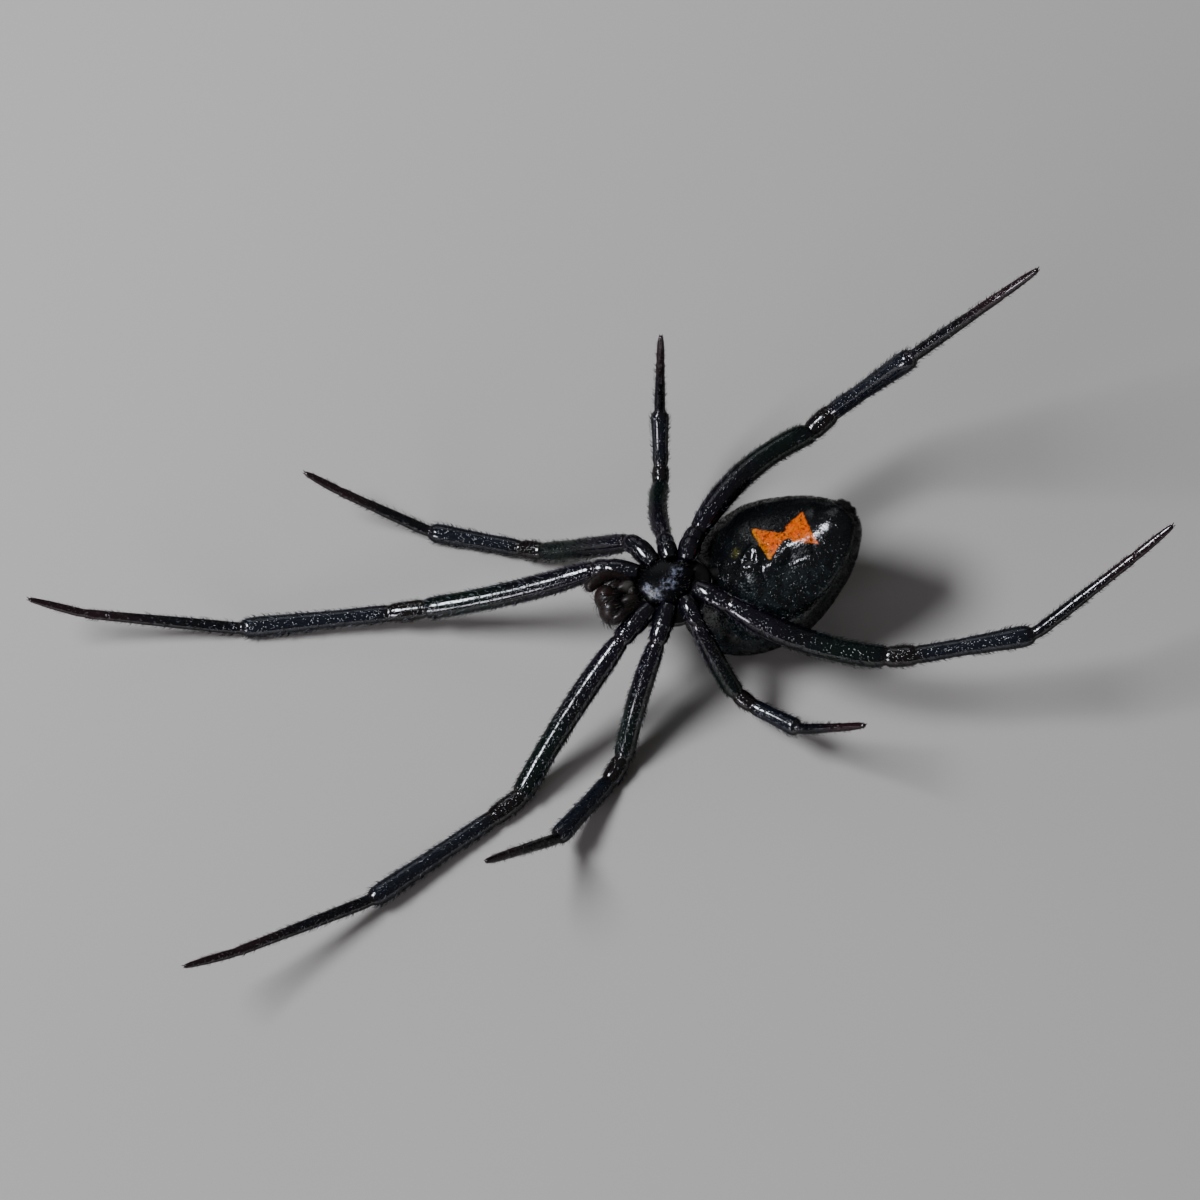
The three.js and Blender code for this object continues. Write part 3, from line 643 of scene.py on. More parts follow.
def legHairFinish():
    # the shell's colours, and a share of the hairs pale, which are painted glints
    finish = Finish("leg_hair")
    pale = finish.ramp(finish.weight("chance"), 1 - legTones["paleShare"], 1.02 - legTones["paleShare"])
    tone = finish.mix(pale, legTone(finish, legTones["hair"]), colour(*legTones["paleGlintHair"]))
    return finish.set(baseColor=tone, roughness=0.5, specular=0.08)


def keep(piece, slot, *nodes):
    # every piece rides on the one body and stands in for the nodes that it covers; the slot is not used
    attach(piece, "root")
    if nodes:
        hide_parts(*nodes)
    return piece


# how far a claw starts inside the tip and from the middle, then the way forwards and outwards of its two
# bends
claw = {"inset": 0.05, "apart": 0.035, "long": (0.09, 0.15), "spread": (0.02, 0.03), "drop": 0.05,
        "radii": (0.024, 0.022, 0.016, 0.006)}


def clawGrids(grid):
    # two small hooks at the tip of a leg, each a limb that curves down from the tip
    tip = grid[-1, 0]
    way = unit(grid[-1, 0] - grid[-8].mean(0))
    down = unit(np.cross(way, np.cross([0.0, 0.0, 1.0], way)))
    across = np.cross(way, down)
    hooks = []
    for s in (-1, 1):
        base = tip - way * claw["inset"] + across * s * claw["apart"]
        points = [base] + [base + way * long + across * s * spread
                           for long, spread in zip(claw["long"], claw["spread"])]
        points[-1] = points[-1] + down * claw["drop"]
        hooks.append(limbGrid(points, claw["radii"], 8, 0.012, soft=0.01))
    return hooks


# Density and length are given at the coxa, the ends of the second to the fifth segment, and the foot;
# bareRoot is the length inside the body, bareJoint what a joint loses and over what reach, and pale the
# stretch of the femur over which the pale hairs, which are painted glints, thin out to a share.
legHair = {"perMm2": 62, "length": 0.25, "thick": 0.0095, "rise": 46, "scatter": 0.2, "seed": 100,
           "density": (0.35, 0.9, 1.25, 0.9, 1.1, 0.9, 0.8), "femurFrom": 0.6,
           "lengths": (0.5, 0.65, 0.85, 0.8, 1.0, 0.75, 0.45), "bareRoot": 0.45, "bareJoint": (0.85, 0.14),
           "pale": (0.9, 2.2), "paleNear": 1.02, "paleFar": 0.88,
           "evenlyPale": ("left_1", "right_1", "right_2")}


def legCoat(name, grid, distance, ends):
    # hair is sparse on the coxa, close on the femur and the shin, and longest along the metatarsus
    femur = ends[2]
    stations = [0.3, femur, femur + legHair["femurFrom"], ends[3], ends[4], ends[5], ends[7]]
    density = np.interp(distance, stations, legHair["density"])[:, None]
    density = np.where(distance[:, None] < legHair["bareRoot"], 0, density)
    loss, reach = legHair["bareJoint"]
    for joint in ends[2:7]:
        density = density * (1 - loss * dent(distance, joint, reach))[:, None]
    rings = np.linalg.norm(grid[1:-1] - np.roll(grid[1:-1], 1, 1), axis=2).sum(1)
    area = rings * np.diff(distance)[1:] * density[1:-1, 0]
    paleFar = 1.0 if name in legHair["evenlyPale"] else legHair["paleFar"]
    pale = [femur + reach for reach in legHair["pale"]]
    paleness = np.interp(distance, pale, [legHair["paleNear"], paleFar])
    lengths = np.interp(distance, [0, *ends[2:8]], legHair["lengths"])
    return legHair | {"count": int(area.sum() * legHair["perMm2"]), "density": density, "lengths": lengths,
                      "paleness": paleness}


legShell, legHairShade = legShellFinish(), legHairFinish()
clawShell = Finish("claw_horn").set(baseColor=colour(0.02, 0.008, 0.005), roughness=0.2)
for number, legName in enumerate(legPoses):
    legSide = 1 if legName.startswith("left") else -1
    grid, distance, ends, weights = legGrid(legName, legSide)
    skin = surfacePiece(f"leg_{legName}_skin", [grid], legShell, [weights])
    keep(skin, "black_shell", *[f"leg_{legName}_{kind}" for kind in ("hip", "femur", "shin", "foot")])
    coat = legCoat(legName, grid, distance, ends)
    seed = legHair["seed"] + number
    hairs = hairCoat(f"leg_{legName}_hair", [grid], [coat], legHairShade, seed, [weights])
    keep(hairs, "black_shell")
    hooks = [aboveFloor(hook) for hook in clawGrids(grid)]
    keep(surfacePiece(f"leg_{legName}_claws", hooks, clawShell), "brown_shell")
print("legs made")


# lengths in millimetres and angles in degrees; narrowing and flat are shares, tailPower rounds the tail
abdomen = {"back": 4.0, "up": -2.4, "halfLength": 4.2, "halfWidth": 2.9, "belly": 2.16, "hump": 2.5,
           "tilt": 28.6, "yaw": -3.7, "narrowing": 0.09, "tailPower": 1.5, "flat": 0.15, "flatEnd": 0.95,
           "flatPower": 1.2, "rows": 300, "columns": 260, "crowding": 0.5}
# The relief of the skin in millimetres, in a frame of the abdomen's own: along is towards the tail, side is
# the spider's left and up is towards the belly.
relief = {
    "plate": {"along": 0.43, "side": -0.34, "high": 0.13, "wide": 0.38, "pitDeep": 0.12, "pitWide": 0.2,
              "twofold": (0.2, 0.9), "threefold": 0.13, "rim": 0.34, "rimHigh": 0.025, "rimWide": 0.11,
              "rimTurn": 1.3},
    "bar": {"side": -0.56, "slant": 0.12, "high": 0.034, "ripple": 0.006, "waves": (29, 5), "wide": 0.14,
            "middle": 0.1, "long": 0.48},
    "furrow": {"along": 0.62, "bend": 0.16, "straight": 1.35, "reach": 0.9, "deep": 0.016, "wide": 0.05,
               "start": 0.35, "rise": 0.3, "end": 1.5},
    "lip": {"side": -0.38, "slant": 0.58, "turn": 1.9, "front": 0.9, "soft": 0.06, "high": 0.03,
            "higher": 0.035, "wide": 0.22, "fall": 0.3, "drop": 0.17, "dropReach": 0.42, "dropEnd": 1.9,
            "build": 0.8, "start": 0.7, "rise": 0.35, "end": 3.1, "fade": 0.22},
    "ridge": {"side": -1.1, "wide": 0.07, "middle": 2.15, "long": 0.5, "high": 0.014, "notch": 0.3,
              "notches": 40},
    "folds": {"lines": ((-1.95, 0.2, 0.008), (-2.3, 0.12, 0.01)), "wave": 0.05, "waves": (4.3, 9),
              "wide": 0.09, "middle": 1.6, "long": 0.8},
    "tail": {"centre": (4.0, 0.05, 0.45), "halves": (1.0, 1.1, 1.6), "high": 0.42, "wide": 0.72},
    "dip": {"along": 3.0, "slant": 0.25, "deep": 0.016, "wide": 0.12},
    "ring": {"centre": (3.95, 0.5, 0.05), "radius": 0.62, "high": 0.06, "wide": 0.12},
    "pits": {"places": ((-1.6, 0.75), (-0.4, 0.85), (0.9, 0.75)), "deep": 0.05, "wide": 0.13},
    "ripple": {"high": 0.012, "first": (2.1, 1.3), "second": (1.7, 0.9), "start": 0.6},
    "bellyUp": 0.6,
}


def abdomenPoint(along, side, up):
    # a place in the abdomen's frame, tilted up towards the tail and turned a little, in the model's frame
    tilt, yaw = rad(abdomen["tilt"]), rad(abdomen["yaw"])
    level = along * np.cos(tilt) - up * np.sin(tilt)
    raised = along * np.sin(tilt) + up * np.cos(tilt)
    return bodyPoint(abdomen["back"] + level * np.cos(yaw) - side * np.sin(yaw),
                     level * np.sin(yaw) + side * np.cos(yaw), abdomen["up"] + raised)


def plateRelief(along, side):
    # A hump with a pit in it and a low rim round it. Its distance swells and shrinks with the cosines of
    # twice and three times the direction, so that its outline isn't round.
    plate = relief["plate"]
    away, aside = along - plate["along"], side - plate["side"]
    turn = np.arctan2(aside, away)
    swell, start = plate["twofold"]
    swelling = 1 + swell * np.cos(2 * turn + start) + plate["threefold"] * np.cos(3 * turn)
    reach = np.hypot(away, aside) * swelling
    hump = plate["high"] * dent(reach, 0, plate["wide"])
    rim = plate["rimHigh"] * dent(reach, plate["rim"], plate["rimWide"])
    rim = rim * (1 + np.cos(turn - plate["rimTurn"]))
    return hump + rim - plate["pitDeep"] * dent(reach, 0, plate["pitWide"])


def barRelief(along, side):
    # a low rippled bar beside the plate, and a bent furrow on either side of it
    bar, furrow = relief["bar"], relief["furrow"]
    high = bar["high"] + bar["ripple"] * np.sin(along * bar["waves"][0] + bar["waves"][1] * side)
    high = high * dent(side, bar["side"] - bar["slant"] * along, bar["wide"])
    high = high * dent(along, bar["middle"], bar["long"], 4)
    bent = furrow["along"] + furrow["bend"] * ((furrow["straight"] - np.abs(side)) / furrow["reach"]) ** 2
    ends = slope(np.abs(side), furrow["start"], furrow["rise"]) * dent(side, 0, furrow["end"], 6)
    return high - furrow["deep"] * dent(along, bent, furrow["wide"]) * ends


def lipRelief(along, side):
    # The mark's right edge lies on a lip: its rise is a bell on the mark's side, and beyond it the skin
    # drops away as 1 - exp(-distance). A notched ridge runs along the drop.
    lip, ridge = relief["lip"], relief["ridge"]
    line = lip["side"] - lip["slant"] * np.clip(lip["turn"] - along, 0, lip["front"])
    beyond = lip["soft"] * np.log1p(np.exp(np.clip((line - side) / lip["soft"], -40, 40)))
    window = slope(along, lip["start"], lip["rise"]) / (1 + np.exp((along - lip["end"]) / lip["fade"]))
    mound = lip["high"] + lip["higher"] * slope(along, lip["turn"], -lip["build"])
    mound = mound * dent(np.minimum(line - side, 0), 0, lip["wide"]) * np.exp(-beyond / lip["fall"])
    drop = lip["drop"] * (1 - np.exp(-beyond / lip["dropReach"])) * dent(beyond, 0, lip["dropEnd"])
    crest = dent(side, ridge["side"], ridge["wide"]) * dent(along, ridge["middle"], ridge["long"], 4)
    notched = 1 + ridge["notch"] * np.sin(along * ridge["notches"])
    return window * (mound - drop) + ridge["high"] * crest * notched


def foldRelief(along, side):
    # shallow wavy folds that run along the flank and fade at both ends
    folds = relief["folds"]
    often, shift = folds["waves"]
    faded = dent(along, folds["middle"], folds["long"], 4)
    push = 0
    for start, slant, deep in folds["lines"]:
        line = start + slant * along + folds["wave"] * np.sin(often * along + shift * start)
        push = push - deep * dent(side, line, folds["wide"]) * faded
    return push


def tailRelief(along, side, up):
    # a swelling round the spinnerets, its distance measured in an egg, and a ring on it
    tail, ring = relief["tail"], relief["ring"]
    place = np.stack([along, side, up], -1)
    dome = np.linalg.norm((place - tail["centre"]) / tail["halves"], axis=-1)
    reach = np.linalg.norm(place - ring["centre"], axis=-1)
    swelling = tail["high"] * dent(dome, 0, tail["wide"], 3)
    return swelling + ring["high"] * dent(reach, ring["radius"], ring["wide"])


def pitRelief(along, side, up):
    # pairs of round pits on the back
    pits = relief["pits"]
    push = 0
    for place, apart in pits["places"]:
        for s in (-1, 1):
            reach = np.hypot(along - place, side - s * apart)
            push = push - pits["deep"] * dent(reach, 0, pits["wide"]) * np.clip(-up, 0, 1)
    return push


def abdomenGrid():
    # Rings across an egg. A ring's fill is the root of 1 - x^2 in front and of 1 - x^1.5 behind, it narrows
    # a little towards the tail, and its height differs above and below. The relief then pushes it in or out
    # from the middle.
    t = np.linspace(0, np.pi, abdomen["rows"])[:, None]
    p = np.linspace(0, 2 * np.pi, abdomen["columns"], endpoint=False)[None]
    p = p + abdomen["crowding"] * np.cos(p)  # closer columns on the belly
    x = -np.cos(t)
    power = np.where(x > 0, abdomen["tailPower"], 2.0)
    girth = np.sqrt(np.maximum(0, 1 - np.abs(x) ** power)) * (1 - abdomen["narrowing"] * x)
    behind = np.clip(x, 0, abdomen["flatEnd"]) / abdomen["flatEnd"]
    flat = 1 - abdomen["flat"] * np.sin(np.pi * behind) ** abdomen["flatPower"]
    height = np.where(np.sin(p) > 0, abdomen["belly"] * flat, abdomen["hump"])
    along = abdomen["halfLength"] * x + 0 * p
    side = abdomen["halfWidth"] * girth * np.cos(p)
    up = height * girth * np.sin(p)
    dip = relief["dip"]
    dipped = dip["deep"] * dent(along - dip["slant"] * side, dip["along"], dip["wide"])
    belly = sum(form(along, side) for form in (plateRelief, barRelief, lipRelief, foldRelief))
    belly = (belly - dipped) * slope(up, 0, relief["bellyUp"])
    ripple = relief["ripple"]
    first, second = ripple["first"], ripple["second"]
    ripples = np.sin(first[0] * along + first[1] * side)
    ripples = ripples * np.sin(second[0] * side - second[1] * up + ripple["start"])
    push = belly + tailRelief(along, side, up) + pitRelief(along, side, up) + ripple["high"] * ripples
    size = np.sqrt(along ** 2 + side ** 2 + up ** 2)
    grow = 1 + push * girth ** 0.5 / np.maximum(size, 0.5)
    return aboveFloor(abdomenPoint(along * grow, side * grow, up * grow))


# Two wedges that meet at a waist, in millimetres along the mark from the abdomen's middle. The widths are
# half widths, the mark slants and its middle line lies off the middle, and wander and fringe make its
# outline ragged.
hourglass = {"slant": 0.27, "slantFall": 0.045, "offset": 0.26, "offsetFall": 0.07, "front": 0.93,
             "waist": 1.78, "neckEnd": 2.05, "rear": 2.89, "frontWidth": 0.84, "waistWidth": 0.19,
             "shoulder": 0.37, "rearWidth": 0.8, "wander": 0.2, "wanderNoise": (7, 4, 0.65),
             "fringe": 0.24, "fringeNoise": (6, 4, 0.65), "edge": 0.03, "up": (0.3, 0.5), "paleFront": 0.22}
abdomenTones = {"orange": (1.0, 0.145, 0.0), "lightOrange": (1.0, 0.21, 0.0), "front": (0.9, 0.3, 0.004),
                "speck": (0.04, 0.007, 0.0005), "black": (0.0025, 0.003, 0.0035),
                "lightBlack": (0.004, 0.0055, 0.0065), "sheen": (0.014, 0.022, 0.024),
                "glints": (0.12, 0.18, 0.185), "spot": (0.16, 0.15, 0.03)}
abdomenClouds = {"orange": (4, 0.35, 0.7), "black": (1.2, 0.4, 0.7, 0, 1, 4), "flank": (1.6, 0.3, 0.6),
                 "sheen": (3, 0.35, 0.65, 0, 1, 4), "glints": (5, 0.42, 0.58), "spot": (9, 0.4, 0.6)}
# Shares of the tints, the spot's place with its outer and inner radius, the edges of the flank that
# carries the painted sheen and glints, and how bare of gloss the mark, the lens beside it and the nook in
# front of it are, with the edges of the last two. Bumps are a height in millimetres and a strength.
abdomenLook = {"specks": 0.92, "speckEdge": (0.5, 0.58), "glints": 0.9, "glintCells": 7.5,
               "glintEdge": (0.36, 0.15), "roughness": (7, 0.3, 0.7, 0.16, 0.26),
               "spot": (-0.07, 0.2, 2.16), "spotReach": (0.3, 0.08), "spotShare": 0.6,
               "flankSide": (-0.7, -1.7), "flankUp": (-0.6, 0.4), "markBare": 0.6, "lensBare": 0.93,
               "lensFront": -0.9, "lensLip": (0.1, 0.22), "lensSide": (-1.04, -0.95),
               "lensAlong": (3.1, 2.85), "nookBare": 0.85, "nook": (0.2, -1.2), "nookLong": (0.55, 0.35),
               "nookWide": (0.38, 0.22), "cells": 9,
               "picked": (0.42, 0.48), "domeEdge": (0.4, 0.05), "domeSide": (0.4, 1.4, 0.3, 1),
               "domeBump": (0.036, 0.9), "grain": (12, 2), "grainBump": (0.009, 0.7), "swells": (2.2, 4),
               "swellBump": (0.04, 0.4), "gloss": 0.13}


def markMask(finish, along, side, up):
    # How deep a place lies in the mark is the wedge's half width there less the distance from the middle
    # line. The mask comes with the place along the mark.
    mark = hourglass
    t = along + side * (mark["slant"] - along * mark["slantFall"])
    t = t + (finish.noise(*mark["wanderNoise"]) - 0.5) * mark["wander"]
    middle = mark["offset"] - t * mark["offsetFall"]
    fringe = (finish.noise(*mark["fringeNoise"]) - 0.5) * mark["fringe"]
    across = abs(side - middle + fringe)
    front = finish.ramp(t, mark["front"], mark["waist"], mark["frontWidth"], mark["waistWidth"], False)
    rear = finish.ramp(t, mark["neckEnd"], mark["rear"], mark["shoulder"], mark["rearWidth"], False)
    behind = finish.ramp(t, mark["neckEnd"] - 0.03, mark["neckEnd"] + 0.02)
    inside = front * (1 - behind) + rear * behind - across
    mask = finish.ramp(inside, -0.02, mark["edge"]) * finish.ramp(up, *mark["up"])
    for end, edge in ((mark["front"], mark["edge"]), (mark["rear"], -mark["edge"])):
        mask = mask * finish.ramp(t, end - edge, end + edge)
    return mask, t


def abdomenTone(finish, side, up, mark, t):
    # Orange with dark specks in the mark, paler at its front. Elsewhere black in clouds, with a painted grey
    # sheen and pale painted glints on the right flank, and a greenish yellow spot in front of the mark.
    look = abdomenLook
    tones = {name: colour(*tone) for name, tone in abdomenTones.items()}
    clouds = {name: finish.clouds(*values) for name, values in abdomenClouds.items()}
    front = finish.ramp(t, hourglass["front"] + hourglass["paleFront"], hourglass["front"])
    speck = finish.ramp(finish.noise(19, 3, 0.7) * 0.6 + finish.noise(6) * 0.4, *look["speckEdge"])
    orange = finish.mix(clouds["orange"], tones["orange"], tones["lightOrange"])
    orange = finish.mix(front, orange, tones["front"])
    orange = finish.mix(speck * look["specks"], orange, tones["speck"])
    # the right flank gets a painted sheen and painted glints
    flank = finish.ramp(side, *look["flankSide"]) * finish.ramp(up, *look["flankUp"]) * clouds["flank"]
    glints = finish.ramp(finish.cells(look["glintCells"]), *look["glintEdge"]) * clouds["glints"]
    spot = finish.reach(abdomenPoint(*(np.array(value) for value in look["spot"])))
    dot = finish.ramp(spot, *look["spotReach"]) * clouds["spot"]
    black = finish.mix(clouds["black"], tones["black"], tones["lightBlack"])
    black = finish.mix(flank * clouds["sheen"], black, tones["sheen"])
    black = finish.mix(flank * glints * look["glints"], black, tones["glints"])
    black = finish.mix(dot * look["spotShare"], black, tones["spot"])
    return finish.mix(mark, black, orange)


def abdomenFinish(name, forHair=False):
    # the same colours for matt hair and for the skin, which gets grain and gloss over them
    finish = Finish(name)
    centre = abdomenPoint(np.array(0.0), np.array(0.0), np.array(0.0))
    axes = [abdomenPoint(*[np.array(float(k == i)) for i in range(3)]) - centre for k in range(3)]
    along, side, up = (finish.along(axis, centre) for axis in axes)
    mark, t = markMask(finish, along, side, up)
    finish.set(baseColor=abdomenTone(finish, side, up, mark, t), specular=0.12)
    if forHair:
        return finish.set(roughness=0.5)
    # a lens of duller skin between the mark's lip and the notched ridge, and a dull nook in front of it
    look, lip = abdomenLook, relief["lip"]
    turn = lip["turn"]
    line = finish.ramp(along, turn - lip["front"], turn, look["lensFront"], lip["side"], False)
    lens = finish.ramp(line - side, *look["lensLip"]) * finish.ramp(side, *look["lensSide"])
    lens = lens * finish.ramp(along, *look["lensAlong"])
    nookAlong, nookSide = abs(along - look["nook"][0]), abs(side - look["nook"][1])
    nook = finish.ramp(nookAlong, *look["nookLong"]) * finish.ramp(nookSide, *look["nookWide"])
    bare = mark * (1 - lens) * look["markBare"] + lens * look["lensBare"] + nook * look["nookBare"]
    # low domes on half of the cells, fewer down the middle, under two sizes of grain
    cells = finish.cells(look["cells"])
    picked = finish.ramp(Value(finish, cells.socket.node.outputs["Color"]), *look["picked"])
    domes = finish.ramp(cells, *look["domeEdge"]) * picked * finish.ramp(abs(side), *look["domeSide"])
    grains = finish.bump(domes, *look["domeBump"])
    grains = finish.bump(finish.noise(*look["grain"]), *look["grainBump"], grains)
    grains = finish.bump(finish.noise(*look["swells"]), *look["swellBump"], grains)
    finish.set(roughness=finish.clouds(*look["roughness"]))
    return finish.lacquer(grains, look["gloss"], bare=bare)


abdomenHair = {"count": 22000, "length": 0.15, "thick": 0.0075, "rise": 38, "scatter": 0.4}
abdomenSkin = abdomenGrid()
keep(surfacePiece("abdomen_skin", [abdomenSkin], abdomenFinish("abdomen_shell")), "black_shell", "abdomen")
abdomenFuzz = abdomenFinish("abdomen_fuzz", True)
keep(hairCoat("abdomen_hair", [abdomenSkin], [abdomenHair], abdomenFuzz, 7), "black_shell")
print("abdomen made")


spinneret = {"seat": (3.88, 0.54, 0.0), "out": (0.9, 0.42, 0.2), "collar": (-0.3, 0.26),
             "collarRadii": (0.56, 0.56, 0.48), "taper": (1, 1, 0.8, 0.35), "splay": 1.1,
             "cones": ((0.17, 0.15, 0.4, 0.25), (-0.17, 0.15, 0.4, 0.25), (0.17, -0.15, 0.34, 0.23),
                       (-0.17, -0.15, 0.34, 0.23), (0, 0, 0.34, 0.2)),
             "hair": {"count": 260, "length": 0.16, "thick": 0.009, "rise": 40, "scatter": 0.4}}


def spinneretPoint(out, side, up):
    # a frame on the tail: out of the seat, across it and up towards the belly
    way = unit(np.array(spinneret["out"]))
    across = unit(np.cross([0.0, 0.0, 1.0], way))
    place = np.array(spinneret["seat"]) + way * out + across * side + np.cross(way, across) * up
    return abdomenPoint(*(np.array(v) for v in place))


def simpleFinish(name, base, lighter, roughness, grain=0.012, perMm=9, gloss=0.3):
    # two tones in clouds, a fine grain and a thin gloss
    finish = Finish(name)
    tone = finish.mix(finish.clouds(2.2, 0.35, 0.7, detail=4), colour(*base), colour(*lighter))
    rough = finish.clouds(6, 0.3, 0.7, roughness, roughness + 0.15)
    finish.set(baseColor=tone, roughness=rough, specular=0.3)
    return finish.lacquer(finish.bump(finish.noise(perMm), grain, 0.5), roughness, gloss)


collar = [spinneretPoint(out, 0, 0) for out in spinneret["collar"]]
coneGrids = [limbGrid(collar, spinneret["collarRadii"], 40)]
for side, up, long, thick in spinneret["cones"]:
    splay = spinneret["splay"]
    points = [spinneretPoint(0, side, up), spinneretPoint(long, side * splay, up * splay)]
    coneGrids.append(limbGrid(points, [thick * share for share in spinneret["taper"]], 20))
tailShell = simpleFinish("spinneret_shell", (0.0025, 0.0024, 0.0026), (0.005, 0.004, 0.004), 0.5, 0.03, 8)
keep(surfacePiece("spinnerets_skin", coneGrids, tailShell), "brown_shell", "spinnerets")
coneCoats = [spinneret["hair"]] * len(coneGrids)
tailHairShade = simpleFinish("spinneret_hair", (0.003, 0.0028, 0.003), (0.006, 0.005, 0.005), 0.5)
keep(hairCoat("spinnerets_hair", coneGrids, coneCoats, tailHairShade, 15), "black_shell")


# half widths and depths are those of the rings at the backs; the pit, the necks of the head and the spokes
# are the hollows of the carapace, with their place, reach and depth
prosoma = {"front": -2.3, "rear": 1.75, "rim": -0.95, "belly": 0.48, "soft": 0.2,
           "backs": (-2.3, -1.7, -0.9, 0.1, 1.0, 1.75), "halfWidths": (0.82, 0.98, 1.42, 1.72, 1.45, 0.75),
           "depths": (0.75, 0.98, 1.05, 0.98, 0.8, 0.55),
           "pit": {"back": 0.35, "long": 0.3, "wide": 0.2, "deep": 0.14},
           "neck": {"left": 0.35, "slant": 0.3, "back": -0.2, "wide": 0.09, "deep": 0.06,
                    "rear": (-0.1, -0.4), "front": (-1.9, 0.5)},
           "spokes": {"count": 6, "reach": 0.75, "long": 0.4, "deep": 0.035}}


def prosomaGrid(rows=120, columns=120):
    # rings whose fill is the cube root of 1 - |x|^3, widest at the rim, domed below and flatter above
    t = np.linspace(0, np.pi, rows)
    x = -np.cos(t)
    back = (prosoma["front"] + prosoma["rear"]) / 2 + (prosoma["rear"] - prosoma["front"]) / 2 * x
    fill = np.cbrt(np.maximum(0, 1 - np.abs(x) ** 3))
    even, step = np.linspace(prosoma["front"], prosoma["rear"], limbShape["samples"], retstep=True)

    def smooth(key):
        values = softened(np.interp(even, prosoma["backs"], prosoma[key]), step, prosoma["soft"])
        return np.interp(back, even, values)

    p = np.linspace(0, 2 * np.pi, columns, endpoint=False)[None]
    width, depth = (smooth("halfWidths") * fill)[:, None], (smooth("depths") * fill)[:, None]
    left = width * np.cos(p)
    up = np.where(np.sin(p) > 0, prosoma["belly"] * fill[:, None], depth) * np.sin(p)
    b = back[:, None] + 0 * p
    hollow, neck, spokes = prosoma["pit"], prosoma["neck"], prosoma["spokes"]
    pit = dent(b, hollow["back"], hollow["long"]) * dent(left, 0, hollow["wide"])
    groove = dent(np.abs(left), neck["left"] + neck["slant"] * (neck["back"] - b), neck["wide"])
    groove = groove * slope(b, *neck["rear"]) * slope(b, *neck["front"])
    rays = 0.5 - 0.5 * np.cos(spokes["count"] * np.arctan2(left, b - hollow["back"]))
    star = rays ** 6 * dent(np.hypot(left, b - hollow["back"]), spokes["reach"], spokes["long"])
    hollows = hollow["deep"] * pit + neck["deep"] * groove + spokes["deep"] * star
    return bodyPoint(b, left, prosoma["rim"] + up + np.clip(-np.sin(p), 0, 1) * hollows)


# each patch of pale dust and painted highlight has its place, its inner and outer radius and its strength
sternum = {"halves": (1.16, 0.98, 0.3), "narrowing": 0.42, "rim": 0.05, "lobes": 8,
           "black": (0.002, 0.002, 0.003), "dustAndHighlight": (0.22, 0.24, 0.32),
           "patches": ((-0.82, -0.09, 0.1, 0.34, 1.5), (-0.5, -0.54, 0.1, 0.45, 1), (0.1, -0.2, 0.15, 0.5, 1),
                       (0.55, 0.15, 0.1, 0.42, 1))}


def sternumGrid(rows=70, columns=90):
    # a heart-shaped lens: full in front, its sides drawn in towards the point behind
    t = np.linspace(0, np.pi, rows)[:, None]
    p = np.linspace(0, 2 * np.pi, columns, endpoint=False)[None]
    x = np.cos(p) * np.sin(t)
    long, wide, deep = sternum["halves"]
    wide = wide * (1 - sternum["narrowing"] * np.maximum(0, x) ** 1.5)
    lobes = 1 + sternum["rim"] * np.cos(sternum["lobes"] * p + 0.4) * np.sin(t) ** 6
    return bodyPoint(long * x * lobes, wide * np.sin(p) * np.sin(t) * lobes, deep * np.cos(t) - deep)


def sternumFinish():
    # shiny black under pale dust and a painted highlight, which lie in noisy patches that fade outwards
    finish = Finish("sternum_shell")
    dustAndHighlight = 0
    for back, left, inner, outer, strength in sternum["patches"]:
        dustAndHighlight = dustAndHighlight + finish.ramp(finish.reach(bodyPoint(back, left, 0.0)), outer, inner) * strength
    mottle = finish.ramp(finish.clouds(6, 0.42, 0.66, detail=6, roughness=0.75) * dustAndHighlight, 0, 1)
    rough = finish.noise(7, 4, 0.65) * finish.ramp(dustAndHighlight, 0, 1, 0.25, 1)
    return finish.set(baseColor=finish.mix(mottle, colour(*sternum["black"]), colour(*sternum["dustAndHighlight"])),
                      specular=0.3, roughness=finish.ramp(mottle, 0, 1, 0.22, 0.4, False),
                      normal=finish.bump(rough, 0.035, 0.6))


carapaceShell = simpleFinish("carapace_shell", (0.003, 0.0028, 0.0032), (0.006, 0.0048, 0.0048), 0.16,
                             gloss=0.8)
sternumSkin = sternumGrid()
keep(surfacePiece("carapace_skin", [prosomaGrid()], carapaceShell), "black_shell", "prosoma")
keep(surfacePiece("sternum_skin", [sternumSkin], sternumFinish()), "black_shell", "sternum")
pedicel = {"ends": ((1.2, 0, -1.05), (2.5, 0.06, -1.4)), "radii": (0.3, 0.28, 0.3)}
pedicelShell = simpleFinish("pedicel_shell", (0.003, 0.0026, 0.0028), (0.006, 0.0045, 0.0045), 0.5, 0.03)
pedicelGrid = limbGrid([bodyPoint(*end) for end in pedicel["ends"]], pedicel["radii"])
keep(surfacePiece("pedicel_skin", [pedicelGrid], pedicelShell), "pale_joint", "pedicel")
print("prosoma made")


